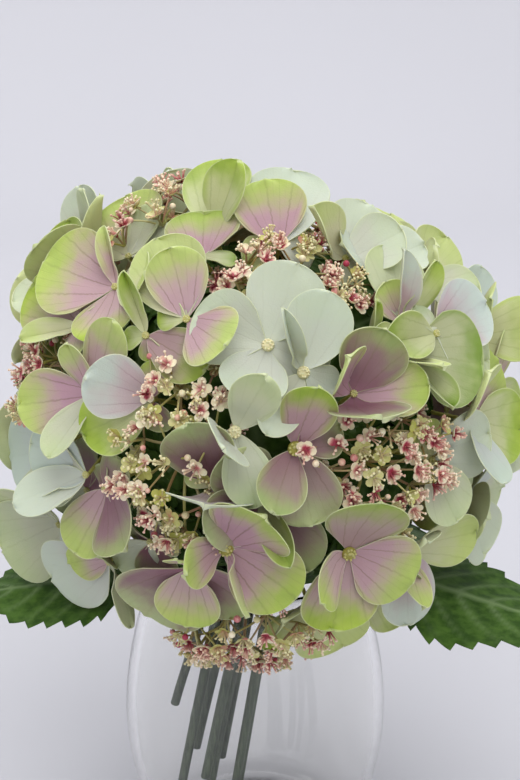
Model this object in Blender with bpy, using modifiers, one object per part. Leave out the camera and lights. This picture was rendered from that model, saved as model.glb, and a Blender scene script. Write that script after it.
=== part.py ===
"""Hydrangeas in a glass vase: ten lacecap heads on slim stems, gathered into a dome over the vase's mouth.

Each head has four kinds of piece: a stem, an umbel (the cushion of tiny fertile flowers in its middle),
a spray (the big four-petalled florets round the umbel, on pedicels from one boss) and, near it, leaves.
Units are metres and +Z is up. The origin is the middle of the vase's flat foot, and the front is -Y.
Directions on the dome are an azimuth, from the front towards +X, and a height above the dome's centre,
both in degrees.
"""

import math
from typing import NamedTuple

import bmesh
import bpy
from mathutils import Matrix, Vector
from mathutils.bvhtree import BVHTree

# The vase.
VASE_HEIGHT = 0.170
FOOT_RADIUS = 0.042
BELLY_RADIUS = 0.0695
BELLY_HEIGHT = 0.082
MOUTH_RADIUS = 0.052
GLASS_WALL = 0.0032
GLASS_FLOOR = 0.011
VASE_SIDES = 36
VASE_RINGS = 9

# The dome of flowers.
DOME_CENTRE = Vector((0.003, 0.0, 0.250))
HEART_REACH = 0.109
BOSS_BOTTOM = 0.0523
BOSS_TOP = 0.0600
BOSS_RADIUS = 0.0042
GAP = 0.0004

# Stems.
STEM_RADIUS = 0.0025
STEM_TOP = 0.0520
NECK_HEIGHT = 0.186
NECK_RING = 0.0155
NECK_CORE = 0.0052
CUT_SHIFT = -0.027
CUT_SPREAD = 1.15
STEM_POINTS = 9

# Umbels, florets and leaves.
UMBEL_RADIUS = 0.021
UMBEL_TOP = 0.1130
UMBEL_UNDERSIDE = 0.1000
UMBEL_STALK = 0.0018
LOW_UMBEL_DROP = 0.012
PETAL_LENGTH = 0.036
SHOULDER_SHARE = 0.88
SHOULDER_TURN = math.radians(30)
NOTCH_SHARE = 0.50
PETAL_SHARES = (0.9, 0.84, 0.76, 0.68, 0.60)
EXTRA_RISES = (0, 10, 20, 30, 42)
STEEPEST_RISE = 68
LIFTS = (0.0, 0.006, -0.008, 0.010, -0.015, -0.022)
PETAL_THICKNESS = 0.0009
CLEARANCE = 0.0014
PEDICEL_RADIUS = 0.0011
LEAF_THICKNESS = 0.0010
LEAF_ROWS = 15

# Where each head's middle points, and how high its cut stem ends inside the vase.
HEADS = {
    "crown": (17, 58, 0.030),
    "top_left": (-112, 64, 0.052),
    "left": (-88, 16, 0.078),
    "front_left": (-21, 15, 0.034),
    "front_right": (29, 5, 0.022),
    "low_front": (-6, -46, 0.046),
    "right": (97, 8, 0.026),
    "rear_top": (165, 46, 0.040),
    "rear_left": (-150, 2, 0.060),
    "rear_right": (150, -6, 0.036),
}
CORE_HEADS = ("crown", "rear_top", "top_left")
RING_HEADS = ("rear_left", "left", "front_left", "low_front", "front_right", "right", "rear_right")


class Floret(NamedTuple):
    """One big floret: its head, where its heart sits on the dome, where it faces, its turn and its cup."""

    head: str
    azimuth: float
    height: float
    face_azimuth: float
    face_height: float
    roll: float
    rise: float


PLACED_FLORETS = (
    Floret("crown", 2, 38, 0, 40, 12, 12),
    Floret("crown", 14, 28, 12, 30, 20, 20),
    Floret("crown", 0, 72, 0, 68, 0, 40),
    Floret("crown", -31, 60, -35, 62, 20, 40),
    Floret("crown", 48, 68, 40, 60, 10, 40),
    Floret("crown", 53, 46, 50, 45, 20, 35),
    Floret("crown", 44, 31, 45, 28, 30, 28),
    Floret("crown", 66, 38, 62, 42, 0, 35),
    Floret("top_left", -58, 74, -60, 60, 0, 40),
    Floret("top_left", -88, 50, -80, 52, 0, 40),
    Floret("left", -59, 46, -45, 48, 30, 30),
    Floret("left", -64, 32, -55, 34, 10, 35),
    Floret("left", -57, 16, -60, 10, 0, 32),
    Floret("left", -50, 0, -55, 0, 20, 35),
    Floret("left", -72, -14, -75, -10, 0, 30),
    Floret("left", -98, -6, -100, -8, 15, 30),
    Floret("left", -112, 20, -115, 20, 40, 30),
    Floret("front_left", -21, 40, -15, 36, 20, 35),
    Floret("front_left", -38, 27, -32, 22, 0, 40),
    Floret("front_left", -39, -5, -35, 0, 0, 25),
    Floret("front_left", -5, 18, 5, 15, 0, 30),
    Floret("front_left", -13, -1, -10, -5, 40, 45),
    Floret("low_front", -8, -14, 15, 0, 40, 28),
    Floret("low_front", -23, -27, -20, -20, 0, 25),
    Floret("low_front", 20, -44, 25, -38, 0, 25),
    Floret("low_front", -38, -44, -40, -40, 20, 25),
    Floret("low_front", -58, -32, -58, -28, 0, 28),
    Floret("front_right", 22, -16, -2, 0, 0, 25),
    Floret("front_right", 7, 11, 5, 8, 10, 22),
    Floret("front_right", 22, 25, 30, 45, 0, 45),
    Floret("front_right", 43, 18, 42, 20, 30, 40),
    Floret("front_right", 56, 1, 60, 0, 0, 35),
    Floret("front_right", 43, -27, 35, -15, 45, 20),
    Floret("front_right", 8, -4, 8, 0, 45, 42),
    Floret("right", 86, 34, 84, 34, 30, 32),
    Floret("right", 72, 17, 70, 15, 0, 34),
    Floret("right", 77, -3, 75, -4, 40, 30),
    Floret("right", 68, -22, 66, -20, 10, 28),
    Floret("right", 101, -18, 102, -20, 0, 28),
    Floret("right", 121, 10, 122, 10, 30, 28),
)


class Wreath(NamedTuple):
    """A head's evenly spaced florets: how many, how far from the head's middle, and from which bearing."""

    head: str
    count: int
    spread: float
    start: float
    step: float


WREATHES = (
    Wreath("top_left", 3, 25, 150, 45),
    Wreath("rear_top", 6, 27, 40, 60),
    Wreath("rear_left", 6, 27, 22, 60),
    Wreath("rear_right", 6, 29, 50, 60),
)
WREATH_RISE = 30
WREATH_LEAN = 8


class Leaf(NamedTuple):
    """One leaf: its azimuth, where its stalk starts, its length, width, pitch and droop, and how its sides rise."""

    azimuth: float
    root_radius: float
    root_height: float
    length: float
    width: float
    pitch: float
    droop: float
    fold: float = 0.18


LEAVES = {
    "leaf_left": Leaf(-79, 0.030, 0.184, 0.118, 0.080, -20, -10, -0.12),
    "leaf_right": Leaf(71, 0.030, 0.184, 0.136, 0.084, -13, -2, -0.12),
    "leaf_rear_left": Leaf(-130, 0.030, 0.186, 0.105, 0.064, -6, 24),
    "leaf_rear": Leaf(178, 0.030, 0.186, 0.105, 0.064, -6, 24),
    "leaf_rear_right": Leaf(122, 0.030, 0.186, 0.110, 0.066, -6, 24),
}


def direction(azimuth: float, height: float) -> Vector:
    """The unit vector that points from the dome's centre to this place on it."""
    a, h = math.radians(azimuth), math.radians(height)
    return Vector((math.sin(a) * math.cos(h), -math.cos(a) * math.cos(h), math.sin(h)))


def on_dome(azimuth: float, height: float, reach: float) -> Vector:
    """The point this far from the dome's centre, in this direction."""
    return DOME_CENTRE + direction(azimuth, height) * reach


def turned_to(axis: Vector, at: Vector, roll: float = 0.0) -> Matrix:
    """A matrix whose +Z is axis and whose +Y leans upwards, then turned about axis by roll degrees."""
    z = axis.normalized()
    x = Vector((0, 0, 1)).cross(z)
    x = x.normalized() if x.length > 1e-4 else Vector((1, 0, 0))
    frame = Matrix((x, z.cross(x), z)).transposed().to_4x4()
    return Matrix.Translation(at) @ frame @ Matrix.Rotation(math.radians(roll), 4, "Z")


def principled(name: str, colour: tuple, roughness: float, transmission: float = 0.0) -> bpy.types.Material:
    """A Principled material with this linear colour and roughness."""
    material = bpy.data.materials.new(name)
    material.use_nodes = True
    shader = material.node_tree.nodes["Principled BSDF"]
    shader.inputs["Base Color"].default_value = (*colour, 1.0)
    shader.inputs["Roughness"].default_value = roughness
    shader.inputs["Transmission Weight"].default_value = transmission
    return material


def add_object(name: str, data: bpy.types.ID, material: bpy.types.Material, group: str) -> bpy.types.Object:
    """An object with this data and material, linked to the named collection."""
    made = bpy.data.objects.new(name, data)
    made.data.materials.append(material)
    bpy.data.collections[group].objects.link(made)
    return made


def mesh_from(bm: bmesh.types.BMesh, name: str) -> bpy.types.Mesh:
    """The bmesh as a mesh, with the bmesh freed."""
    mesh = bpy.data.meshes.new(name)
    bm.to_mesh(mesh)
    bm.free()
    return mesh


def vase_radius(height: float) -> float:
    """The vase's outer radius: an ellipse from the foot to the belly, and a cosine from there to the mouth."""
    if height < BELLY_HEIGHT:
        short = 1 - height / BELLY_HEIGHT
        return math.sqrt(FOOT_RADIUS**2 + (BELLY_RADIUS**2 - FOOT_RADIUS**2) * (1 - short**2))
    share = (height - BELLY_HEIGHT) / (VASE_HEIGHT - BELLY_HEIGHT)
    return MOUTH_RADIUS + (BELLY_RADIUS - MOUTH_RADIUS) * math.cos(share * math.pi / 2)


def build_vase(glass: bpy.types.Material) -> None:
    """The vase, turned from a profile that runs up its inside and down its outside."""
    inner_low = GLASS_FLOOR + 0.004
    inner = [(0.0, GLASS_FLOOR), (vase_radius(GLASS_FLOOR) * 0.72, GLASS_FLOOR)]
    for i in range(VASE_RINGS):
        z = inner_low + (VASE_HEIGHT - 0.0015 - inner_low) * i / (VASE_RINGS - 1)
        inner.append((vase_radius(z) - GLASS_WALL, z))
    outer = [(MOUTH_RADIUS - GLASS_WALL / 2, VASE_HEIGHT)]
    for i in range(VASE_RINGS):
        z = (VASE_HEIGHT - 0.0015) * (1 - i / (VASE_RINGS - 1)) + 0.0015 * i / (VASE_RINGS - 1)
        outer.append((vase_radius(z), z))
    outer += [(FOOT_RADIUS - 0.001, 0.0), (0.0, 0.0)]
    bm = bmesh.new()
    points = [bm.verts.new((r, 0.0, z)) for r, z in inner + outer]
    for a, b in zip(points, points[1:]):
        bm.edges.new((a, b))
    vase = add_object("vase", mesh_from(bm, "vase"), glass, "hydrangeas_in_a_vase")
    turn = vase.modifiers.new("turn", "SCREW")
    turn.steps = turn.render_steps = VASE_SIDES
    turn.use_merge_vertices = True
    turn.merge_threshold = 0.00005
    turn.use_smooth_shade = True


def smooth_route(points: list, count: int) -> list:
    """Count points evenly spaced in parameter along a Catmull-Rom curve through the given points."""
    padded = [2 * points[0] - points[1], *points, 2 * points[-1] - points[-2]]
    spans = len(points) - 1
    route = []
    for i in range(count):
        at = min(i * spans / (count - 1), spans - 1e-9)
        k, t = int(at), at - int(at)
        a, b, c, d = padded[k : k + 4]
        route.append(
            0.5 * ((2 * b) + (c - a) * t + (2 * a - 5 * b + 4 * c - d) * t**2 + (3 * b - a - 3 * c + d) * t**3)
        )
    return route


def neck_place(head: str) -> Vector:
    """Where a head's stem crosses the vase's mouth, measured from the bundle's middle."""
    if head in CORE_HEADS:
        turn, radius = 17 + 360 * CORE_HEADS.index(head) / len(CORE_HEADS), NECK_CORE
    else:
        turn, radius = -154 + 360 * RING_HEADS.index(head) / len(RING_HEADS), NECK_RING
    return direction(turn, 0) * radius


def stem_route(head: str) -> list:
    """The stem's centre line, from under its head, in to the bundle, through the mouth, to its cut end."""
    azimuth, height, cut = HEADS[head]
    across = neck_place(head)
    neck = Vector((0, 0, NECK_HEIGHT)) + across
    elbow = on_dome(azimuth, height, STEM_TOP * 0.5)
    elbow.z = min(elbow.z, DOME_CENTRE.z + 0.012) - 0.010
    end = Vector((CUT_SHIFT, 0.004, 0)) + across * CUT_SPREAD
    end.z = cut
    below = on_dome(azimuth, height, STEM_TOP - 0.005)
    return [on_dome(azimuth, height, STEM_TOP), *smooth_route([below, elbow, neck, end], STEM_POINTS)]


def build_tube(name: str, route: list, radius: float, material: bpy.types.Material) -> bpy.types.Object:
    """A round rod along the route, with filled ends."""
    curve = bpy.data.curves.new(name, "CURVE")
    curve.dimensions = "3D"
    curve.bevel_depth = radius
    curve.bevel_resolution = 2
    curve.use_fill_caps = True
    spline = curve.splines.new("POLY")
    spline.points.add(len(route) - 1)
    for point, place in zip(spline.points, route):
        point.co = (*place, 1)
    return add_object(name, curve, material, "hydrangeas_in_a_vase")


def build_umbel(head: str, green: bpy.types.Material) -> bpy.types.Object:
    """The cushion of tiny flowers and its stalk, turned from one profile, standing on the spray's boss."""
    azimuth, height, _ = HEADS[head]
    drop = LOW_UMBEL_DROP if head == "low_front" else 0.0
    top, underside = UMBEL_TOP + drop, UMBEL_UNDERSIDE + drop
    foot = BOSS_TOP + GAP
    profile = [(0, top), (0.45, top - 0.0005), (0.82, top - 0.003), (1.0, top - 0.007)]
    profile += [(0.94, underside + 0.001), (0.4, underside - 0.004)]
    places = [(share * UMBEL_RADIUS, reach) for share, reach in profile]
    places += [(UMBEL_STALK, underside - 0.014), (UMBEL_STALK, foot), (0, foot)]
    bm = bmesh.new()
    points = [bm.verts.new((radius, 0, reach)) for radius, reach in places]
    for a, b in zip(points, points[1:]):
        bm.edges.new((a, b))
    umbel = add_object(f"umbel_{head}", mesh_from(bm, "umbel"), green, "hydrangeas_in_a_vase")
    umbel.matrix_world = turned_to(direction(azimuth, height), DOME_CENTRE)
    turn = umbel.modifiers.new("turn", "SCREW")
    turn.steps = turn.render_steps = 10
    turn.use_merge_vertices = True
    turn.merge_threshold = 0.00005
    return umbel


def floret_surface(length: float, rise: float) -> bmesh.types.BMesh:
    """A floret as an open surface round its heart: four broad petals, with a notch between each two, that rise."""
    bm = bmesh.new()
    bmesh.ops.create_circle(bm, cap_ends=True, cap_tris=True, segments=16, radius=1.0)
    for v in bm.verts:
        if v.co.length < 0.5:
            continue
        turn = math.atan2(v.co.y, v.co.x)
        petal = round(turn / (math.pi / 2)) * math.pi / 2
        off = turn - petal
        share = 1.0 if abs(off) < 0.1 else SHOULDER_SHARE
        if abs(off) > math.radians(40):
            share = NOTCH_SHARE
        else:
            off = math.copysign(SHOULDER_TURN, off) if abs(off) > 0.1 else 0.0
        flat = length * share * math.cos(math.radians(rise))
        v.co = Vector((math.cos(petal + off), math.sin(petal + off), 0)) * flat
        v.co.z = length * share * math.sin(math.radians(rise))
    bm.verts.index_update()
    return bm


def layered_tree(bm: bmesh.types.BMesh, place: Matrix) -> BVHTree:
    """The surface where it would stand, in three layers that keep the clearance on both of its sides."""
    bm.normal_update()
    points, faces = [], []
    for offset in (-CLEARANCE, 0.0, CLEARANCE):
        first = len(points)
        points += [place @ (v.co + v.normal * offset) for v in bm.verts]
        faces += [tuple(first + v.index for v in face.verts) for face in bm.faces]
    bm.free()
    return BVHTree.FromPolygons(points, faces)


def tree_of(obj: bpy.types.Object) -> BVHTree:
    """An object's evaluated mesh, in world space, ready to be tested against."""
    bpy.context.view_layer.update()
    evaluated = obj.evaluated_get(bpy.context.evaluated_depsgraph_get())
    mesh = evaluated.to_mesh()
    points = [evaluated.matrix_world @ v.co for v in mesh.vertices]
    tree = BVHTree.FromPolygons(points, [tuple(p.vertices) for p in mesh.polygons])
    evaluated.to_mesh_clear()
    return tree


def all_florets() -> list:
    """The florets placed one by one, then those of the wreathes."""
    florets = list(PLACED_FLORETS)
    for wreath in WREATHES:
        azimuth, height, _ = HEADS[wreath.head]
        middle = turned_to(direction(azimuth, height), Vector())
        for i in range(wreath.count):
            bearing = math.radians(wreath.start + i * wreath.step)
            across = middle @ Vector((math.sin(bearing), math.cos(bearing), 0))
            out = math.radians(wreath.spread + WREATH_LEAN * (i % 2))
            at = direction(azimuth, height) * math.cos(out) + across * math.sin(out)
            az = math.degrees(math.atan2(at.x, -at.y))
            el = math.degrees(math.asin(at.z))
            florets.append(Floret(wreath.head, az, el, az, el, 37 * i, WREATH_RISE))
    return florets


def heart_of(floret: Floret, lift: float) -> Vector:
    """The middle of a floret that is raised this far off the dome's heart sphere."""
    return on_dome(floret.azimuth, floret.height, HEART_REACH + lift)


def floret_place(floret: Floret, lift: float) -> Matrix:
    """Where a floret stands: its heart, its facing direction and its turn."""
    return turned_to(direction(floret.face_azimuth, floret.face_height), heart_of(floret, lift), floret.roll)


def pedicel_ends(floret: Floret, lift: float) -> tuple:
    """Where a floret's stalk starts, off the middle of its head's boss, and where it ends, just through the heart."""
    azimuth, height, _ = HEADS[floret.head]
    axis = direction(azimuth, height)
    boss = DOME_CENTRE + axis * (BOSS_BOTTOM + BOSS_TOP) / 2
    heart = heart_of(floret, lift)
    across = heart - boss
    across -= axis * across.dot(axis)
    start = boss + across.normalized() * BOSS_RADIUS * 0.55
    return start, heart + (heart - start).normalized() * 0.0012


def pedicel_tree(floret: Floret, lift: float) -> BVHTree:
    """A floret's stalk with the clearance round it, ready to be tested against its neighbours."""
    start, end = pedicel_ends(floret, lift)
    bm = bmesh.new()
    bmesh.ops.create_cone(
        bm, segments=5, radius1=PEDICEL_RADIUS + GAP * 2, radius2=PEDICEL_RADIUS + GAP * 2, depth=(end - start).length
    )
    bm.transform(turned_to(end - start, (start + end) / 2))
    tree = BVHTree.FromBMesh(bm)
    bm.free()
    return tree


def settle_floret(floret: Floret, neighbours: list, sisters: list) -> tuple:
    """The largest form of this floret that clears its neighbours and, where there is room, its own head's florets."""
    open_lifts = []
    for lift in LIFTS:
        stalk = pedicel_tree(floret, lift)
        if not any(stalk.overlap(other) for other in neighbours):
            open_lifts.append(lift)
    for crowded in (False, True):
        tests = neighbours if crowded else neighbours + sisters
        for share in PETAL_SHARES:
            for extra in EXTRA_RISES:
                for lift in open_lifts:
                    rise = min(floret.rise + extra, STEEPEST_RISE)
                    surface = floret_surface(PETAL_LENGTH * share + CLEARANCE, rise)
                    tree = layered_tree(surface, floret_place(floret, lift))
                    if not any(tree.overlap(other) for other in tests):
                        return lift, PETAL_LENGTH * share, rise
    raise RuntimeError(f"{floret.head} has no room for a floret at {floret.azimuth}, {floret.height}")


def build_pedicel(name: str, start: Vector, end: Vector, green: bpy.types.Material) -> bpy.types.Object:
    """A thin stalk from the boss to just through a floret's heart, where its end shows as the floret's eye."""
    along = end - start
    bm = bmesh.new()
    bmesh.ops.create_cone(
        bm, cap_ends=True, segments=5, radius1=PEDICEL_RADIUS, radius2=PEDICEL_RADIUS * 1.3, depth=along.length
    )
    pedicel = add_object(name, mesh_from(bm, name), green, "joined_pieces")
    pedicel.matrix_world = turned_to(along, (start + end) / 2)
    return pedicel


def build_floret(number: int, floret: Floret, form: tuple, petal: bpy.types.Material) -> bpy.types.Object:
    """A floret's solid: its surface, in the form that was found for it, thickened."""
    lift, length, rise = form
    made = add_object(f"floret_{number}", mesh_from(floret_surface(length, rise), "floret"), petal, "joined_pieces")
    made.matrix_world = floret_place(floret, lift)
    thicken = made.modifiers.new("thicken", "SOLIDIFY")
    thicken.thickness = PETAL_THICKNESS
    thicken.offset = 0
    thicken.use_even_offset = False
    return made


def build_sprays(petal: bpy.types.Material, green: bpy.types.Material, fixed: list) -> None:
    """Every head's spray: its boss, its pedicels and its florets, joined into one body a head."""
    placed = {head: [] for head in HEADS}
    for i, floret in enumerate(all_florets()):
        neighbours = fixed + [tree for head in HEADS if head != floret.head for tree in placed[head]]
        form = settle_floret(floret, neighbours, placed[floret.head])
        stalk = build_pedicel(f"pedicel_{i}", *pedicel_ends(floret, form[0]), green)
        made = build_floret(i, floret, form, petal)
        placed[floret.head] += [tree_of(made), tree_of(stalk)]
    for head in HEADS:
        join_spray(head, petal)


def join_spray(head: str, petal: bpy.types.Material) -> None:
    """One head's boss with a Boolean union of its pedicels and florets."""
    azimuth, height, _ = HEADS[head]
    bm = bmesh.new()
    bmesh.ops.create_cone(
        bm, cap_ends=True, segments=8, radius1=BOSS_RADIUS * 0.7, radius2=BOSS_RADIUS, depth=BOSS_TOP - BOSS_BOTTOM
    )
    spray = add_object(f"spray_{head}", mesh_from(bm, f"spray_{head}"), petal, "hydrangeas_in_a_vase")
    middle = on_dome(azimuth, height, (BOSS_BOTTOM + BOSS_TOP) / 2)
    spray.matrix_world = turned_to(direction(azimuth, height), middle)
    group = bpy.data.collections.new(f"joined_{head}")
    bpy.data.collections["joined_pieces"].children.link(group)
    for i, floret in enumerate(all_florets()):
        if floret.head != head:
            continue
        for name in (f"pedicel_{i}", f"floret_{i}"):
            piece = bpy.data.objects[name]
            bpy.data.collections["joined_pieces"].objects.unlink(piece)
            group.objects.link(piece)
            piece.hide_render = True
            piece.display_type = "WIRE"
    join = spray.modifiers.new("join", "BOOLEAN")
    join.operation = "UNION"
    join.operand_type = "COLLECTION"
    join.collection = group


def build_leaf(name: str, leaf: Leaf, green: bpy.types.Material) -> bpy.types.Object:
    """A toothed leaf with its stalk: a strip of two half blades, folded along the midrib and drooping."""
    bm = bmesh.new()
    bmesh.ops.create_grid(bm, x_segments=2, y_segments=LEAF_ROWS, size=1.0)
    for v in bm.verts:
        side, row = round(v.co.x), round((v.co.y + 1) / 2 * LEAF_ROWS)
        along = row / LEAF_ROWS
        blade = max(0.0, (along - 0.16) / 0.84)
        half = 0.0016 + leaf.width / 2 * math.sin(math.pi * blade**0.8) ** 0.85
        tooth = 0.10 * leaf.width / 2 * (row % 2) * (0.3 < along < 0.97)
        if row == LEAF_ROWS:
            half = 0.0008
        lift = math.radians(leaf.pitch - leaf.droop * along)
        out = leaf.length * along
        half = (half + tooth) * abs(side)
        v.co = (side * half, out * math.cos(lift), out * math.sin(lift) + leaf.fold * half)
    made = add_object(name, mesh_from(bm, name), green, "hydrangeas_in_a_vase")
    root = Vector((0, 0, leaf.root_height)) + direction(leaf.azimuth, 0) * leaf.root_radius
    made.matrix_world = Matrix.Translation(root) @ Matrix.Rotation(math.radians(leaf.azimuth + 180), 4, "Z")
    thicken = made.modifiers.new("thicken", "SOLIDIFY")
    thicken.thickness = LEAF_THICKNESS
    thicken.offset = 0
    return made


def main() -> None:
    """Clears the scene and builds the vase, stems, umbels, leaves and sprays."""
    for old in list(bpy.data.objects):
        bpy.data.objects.remove(old)
    for name in ("hydrangeas_in_a_vase", "joined_pieces"):
        bpy.context.scene.collection.children.link(bpy.data.collections.new(name))
    glass = principled("clear_glass", (0.95, 0.96, 0.96), 0.02, 1.0)
    stem_green = principled("stem_green", (0.07, 0.11, 0.07), 0.55)
    leaf_green = principled("leaf_green", (0.05, 0.13, 0.03), 0.5)
    umbel_pink = principled("umbel_pink", (0.62, 0.38, 0.30), 0.6)
    petal_green = principled("petal_green", (0.55, 0.62, 0.34), 0.7)
    build_vase(glass)
    fixed = [build_umbel(head, umbel_pink) for head in HEADS]
    fixed += [build_tube(f"stem_{head}", stem_route(head), STEM_RADIUS, stem_green) for head in HEADS]
    fixed += [build_leaf(name, leaf, leaf_green) for name, leaf in LEAVES.items()]
    fixed.append(bpy.data.objects["vase"])
    build_sprays(petal_green, stem_green, [tree_of(obj) for obj in fixed])


main()
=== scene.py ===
"""Hydrangeas in a glass vase: the looks of a domed bunch of fabric lacecap heads.

Every head has big four-petalled florets of printed cloth round a cushion of tiny moulded flowers. Directions
on the dome are an azimuth, from the front (-Y) towards +X, and a height above the dome's middle, in degrees.
"""

import logging
import math
from dataclasses import dataclass, field
from enum import Enum
from typing import Any, NamedTuple

import bpy
import numpy as np
from mathutils import Matrix, Vector
from mathutils.bvhtree import BVHTree

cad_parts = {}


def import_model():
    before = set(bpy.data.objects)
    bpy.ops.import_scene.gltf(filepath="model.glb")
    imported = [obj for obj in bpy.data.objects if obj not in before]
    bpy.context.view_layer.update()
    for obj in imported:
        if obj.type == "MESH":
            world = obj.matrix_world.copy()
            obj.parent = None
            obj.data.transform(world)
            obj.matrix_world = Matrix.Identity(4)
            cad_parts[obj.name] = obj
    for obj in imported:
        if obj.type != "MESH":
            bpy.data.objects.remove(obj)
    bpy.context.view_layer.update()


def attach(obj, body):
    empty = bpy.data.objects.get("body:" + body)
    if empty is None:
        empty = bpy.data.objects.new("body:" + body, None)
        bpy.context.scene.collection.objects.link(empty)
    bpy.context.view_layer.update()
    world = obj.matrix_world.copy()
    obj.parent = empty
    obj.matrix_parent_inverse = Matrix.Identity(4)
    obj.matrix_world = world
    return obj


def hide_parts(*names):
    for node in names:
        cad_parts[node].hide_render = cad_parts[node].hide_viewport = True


Tree = bpy.types.NodeTree
Socket = bpy.types.NodeSocket
Material = bpy.types.Material
Object = bpy.types.Object
Faces = list[tuple[int, ...]]
Obstacles = list[tuple[Vector, BVHTree]]
Place = tuple[float, float, float]

LOG = logging.getLogger("hydrangeas")
MM = 0.001
BODY = "root"
DOME_CENTRE = Vector((0.003, 0.0, 0.250))


# ---------------------------------------------------------------- colour and nodes


def linear(code: str) -> tuple[float, float, float, float]:
    """Turn an sRGB colour of six hex digits into linear red, green and blue, with an alpha of 1."""
    parts = [int(code[i : i + 2], 16) / 255 for i in (0, 2, 4)]
    return (*(c / 12.92 if c <= 0.04045 else ((c + 0.055) / 1.055) ** 2.4 for c in parts), 1.0)


def feed(node: bpy.types.Node, inputs: Any) -> None:
    """Feed a node's inputs.

    Args:
        node: The node.
        inputs: What goes in, in order, or by name or number: a socket links, and any other value is set.
    """
    pairs = inputs.items() if isinstance(inputs, dict) else enumerate(inputs)
    for key, value in pairs:
        if isinstance(value, Socket):
            node.id_data.links.new(value, node.inputs[key])
        else:
            node.inputs[key].default_value = value


def add(tree: Tree, kind: str, inputs: Any = (), output: Any = 0, **settings: Any) -> Socket:
    """Add a node, set its properties and feed its inputs.

    Args:
        tree: The material's node tree.
        kind: The node's type name, without its "ShaderNode".
        inputs: What goes in, as for feed.
        output: The name or number of the output that is wanted.
        settings: Properties of the node itself.

    Returns:
        That output.
    """
    node = tree.nodes.new(f"ShaderNode{kind}")
    for name, value in settings.items():
        setattr(node, name, value)
    feed(node, inputs)
    return node.outputs[output]


def blank(name: str) -> tuple[Material, Tree, bpy.types.Node]:
    """Start a material that holds only its Principled shader.

    Args:
        name: The material's name.

    Returns:
        The material, its node tree and its shader.
    """
    material = bpy.data.materials.new(name)
    material.use_nodes = True
    tree = material.node_tree
    return material, tree, tree.nodes["Principled BSDF"]


def blotches(where: Socket, size_mm: float, detail: float) -> dict[str, Any]:
    """Work out what makes a noise's blotches size_mm wide, with finer layers on them."""
    return {"Vector": where, "Scale": 1 / (size_mm * MM), "Detail": detail, "Roughness": 0.55}


# ---------------------------------------------------------------- finishes

EASED = {"interpolation_type": "SMOOTHSTEP"}
COLOURS = {"data_type": "RGBA"}


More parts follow.
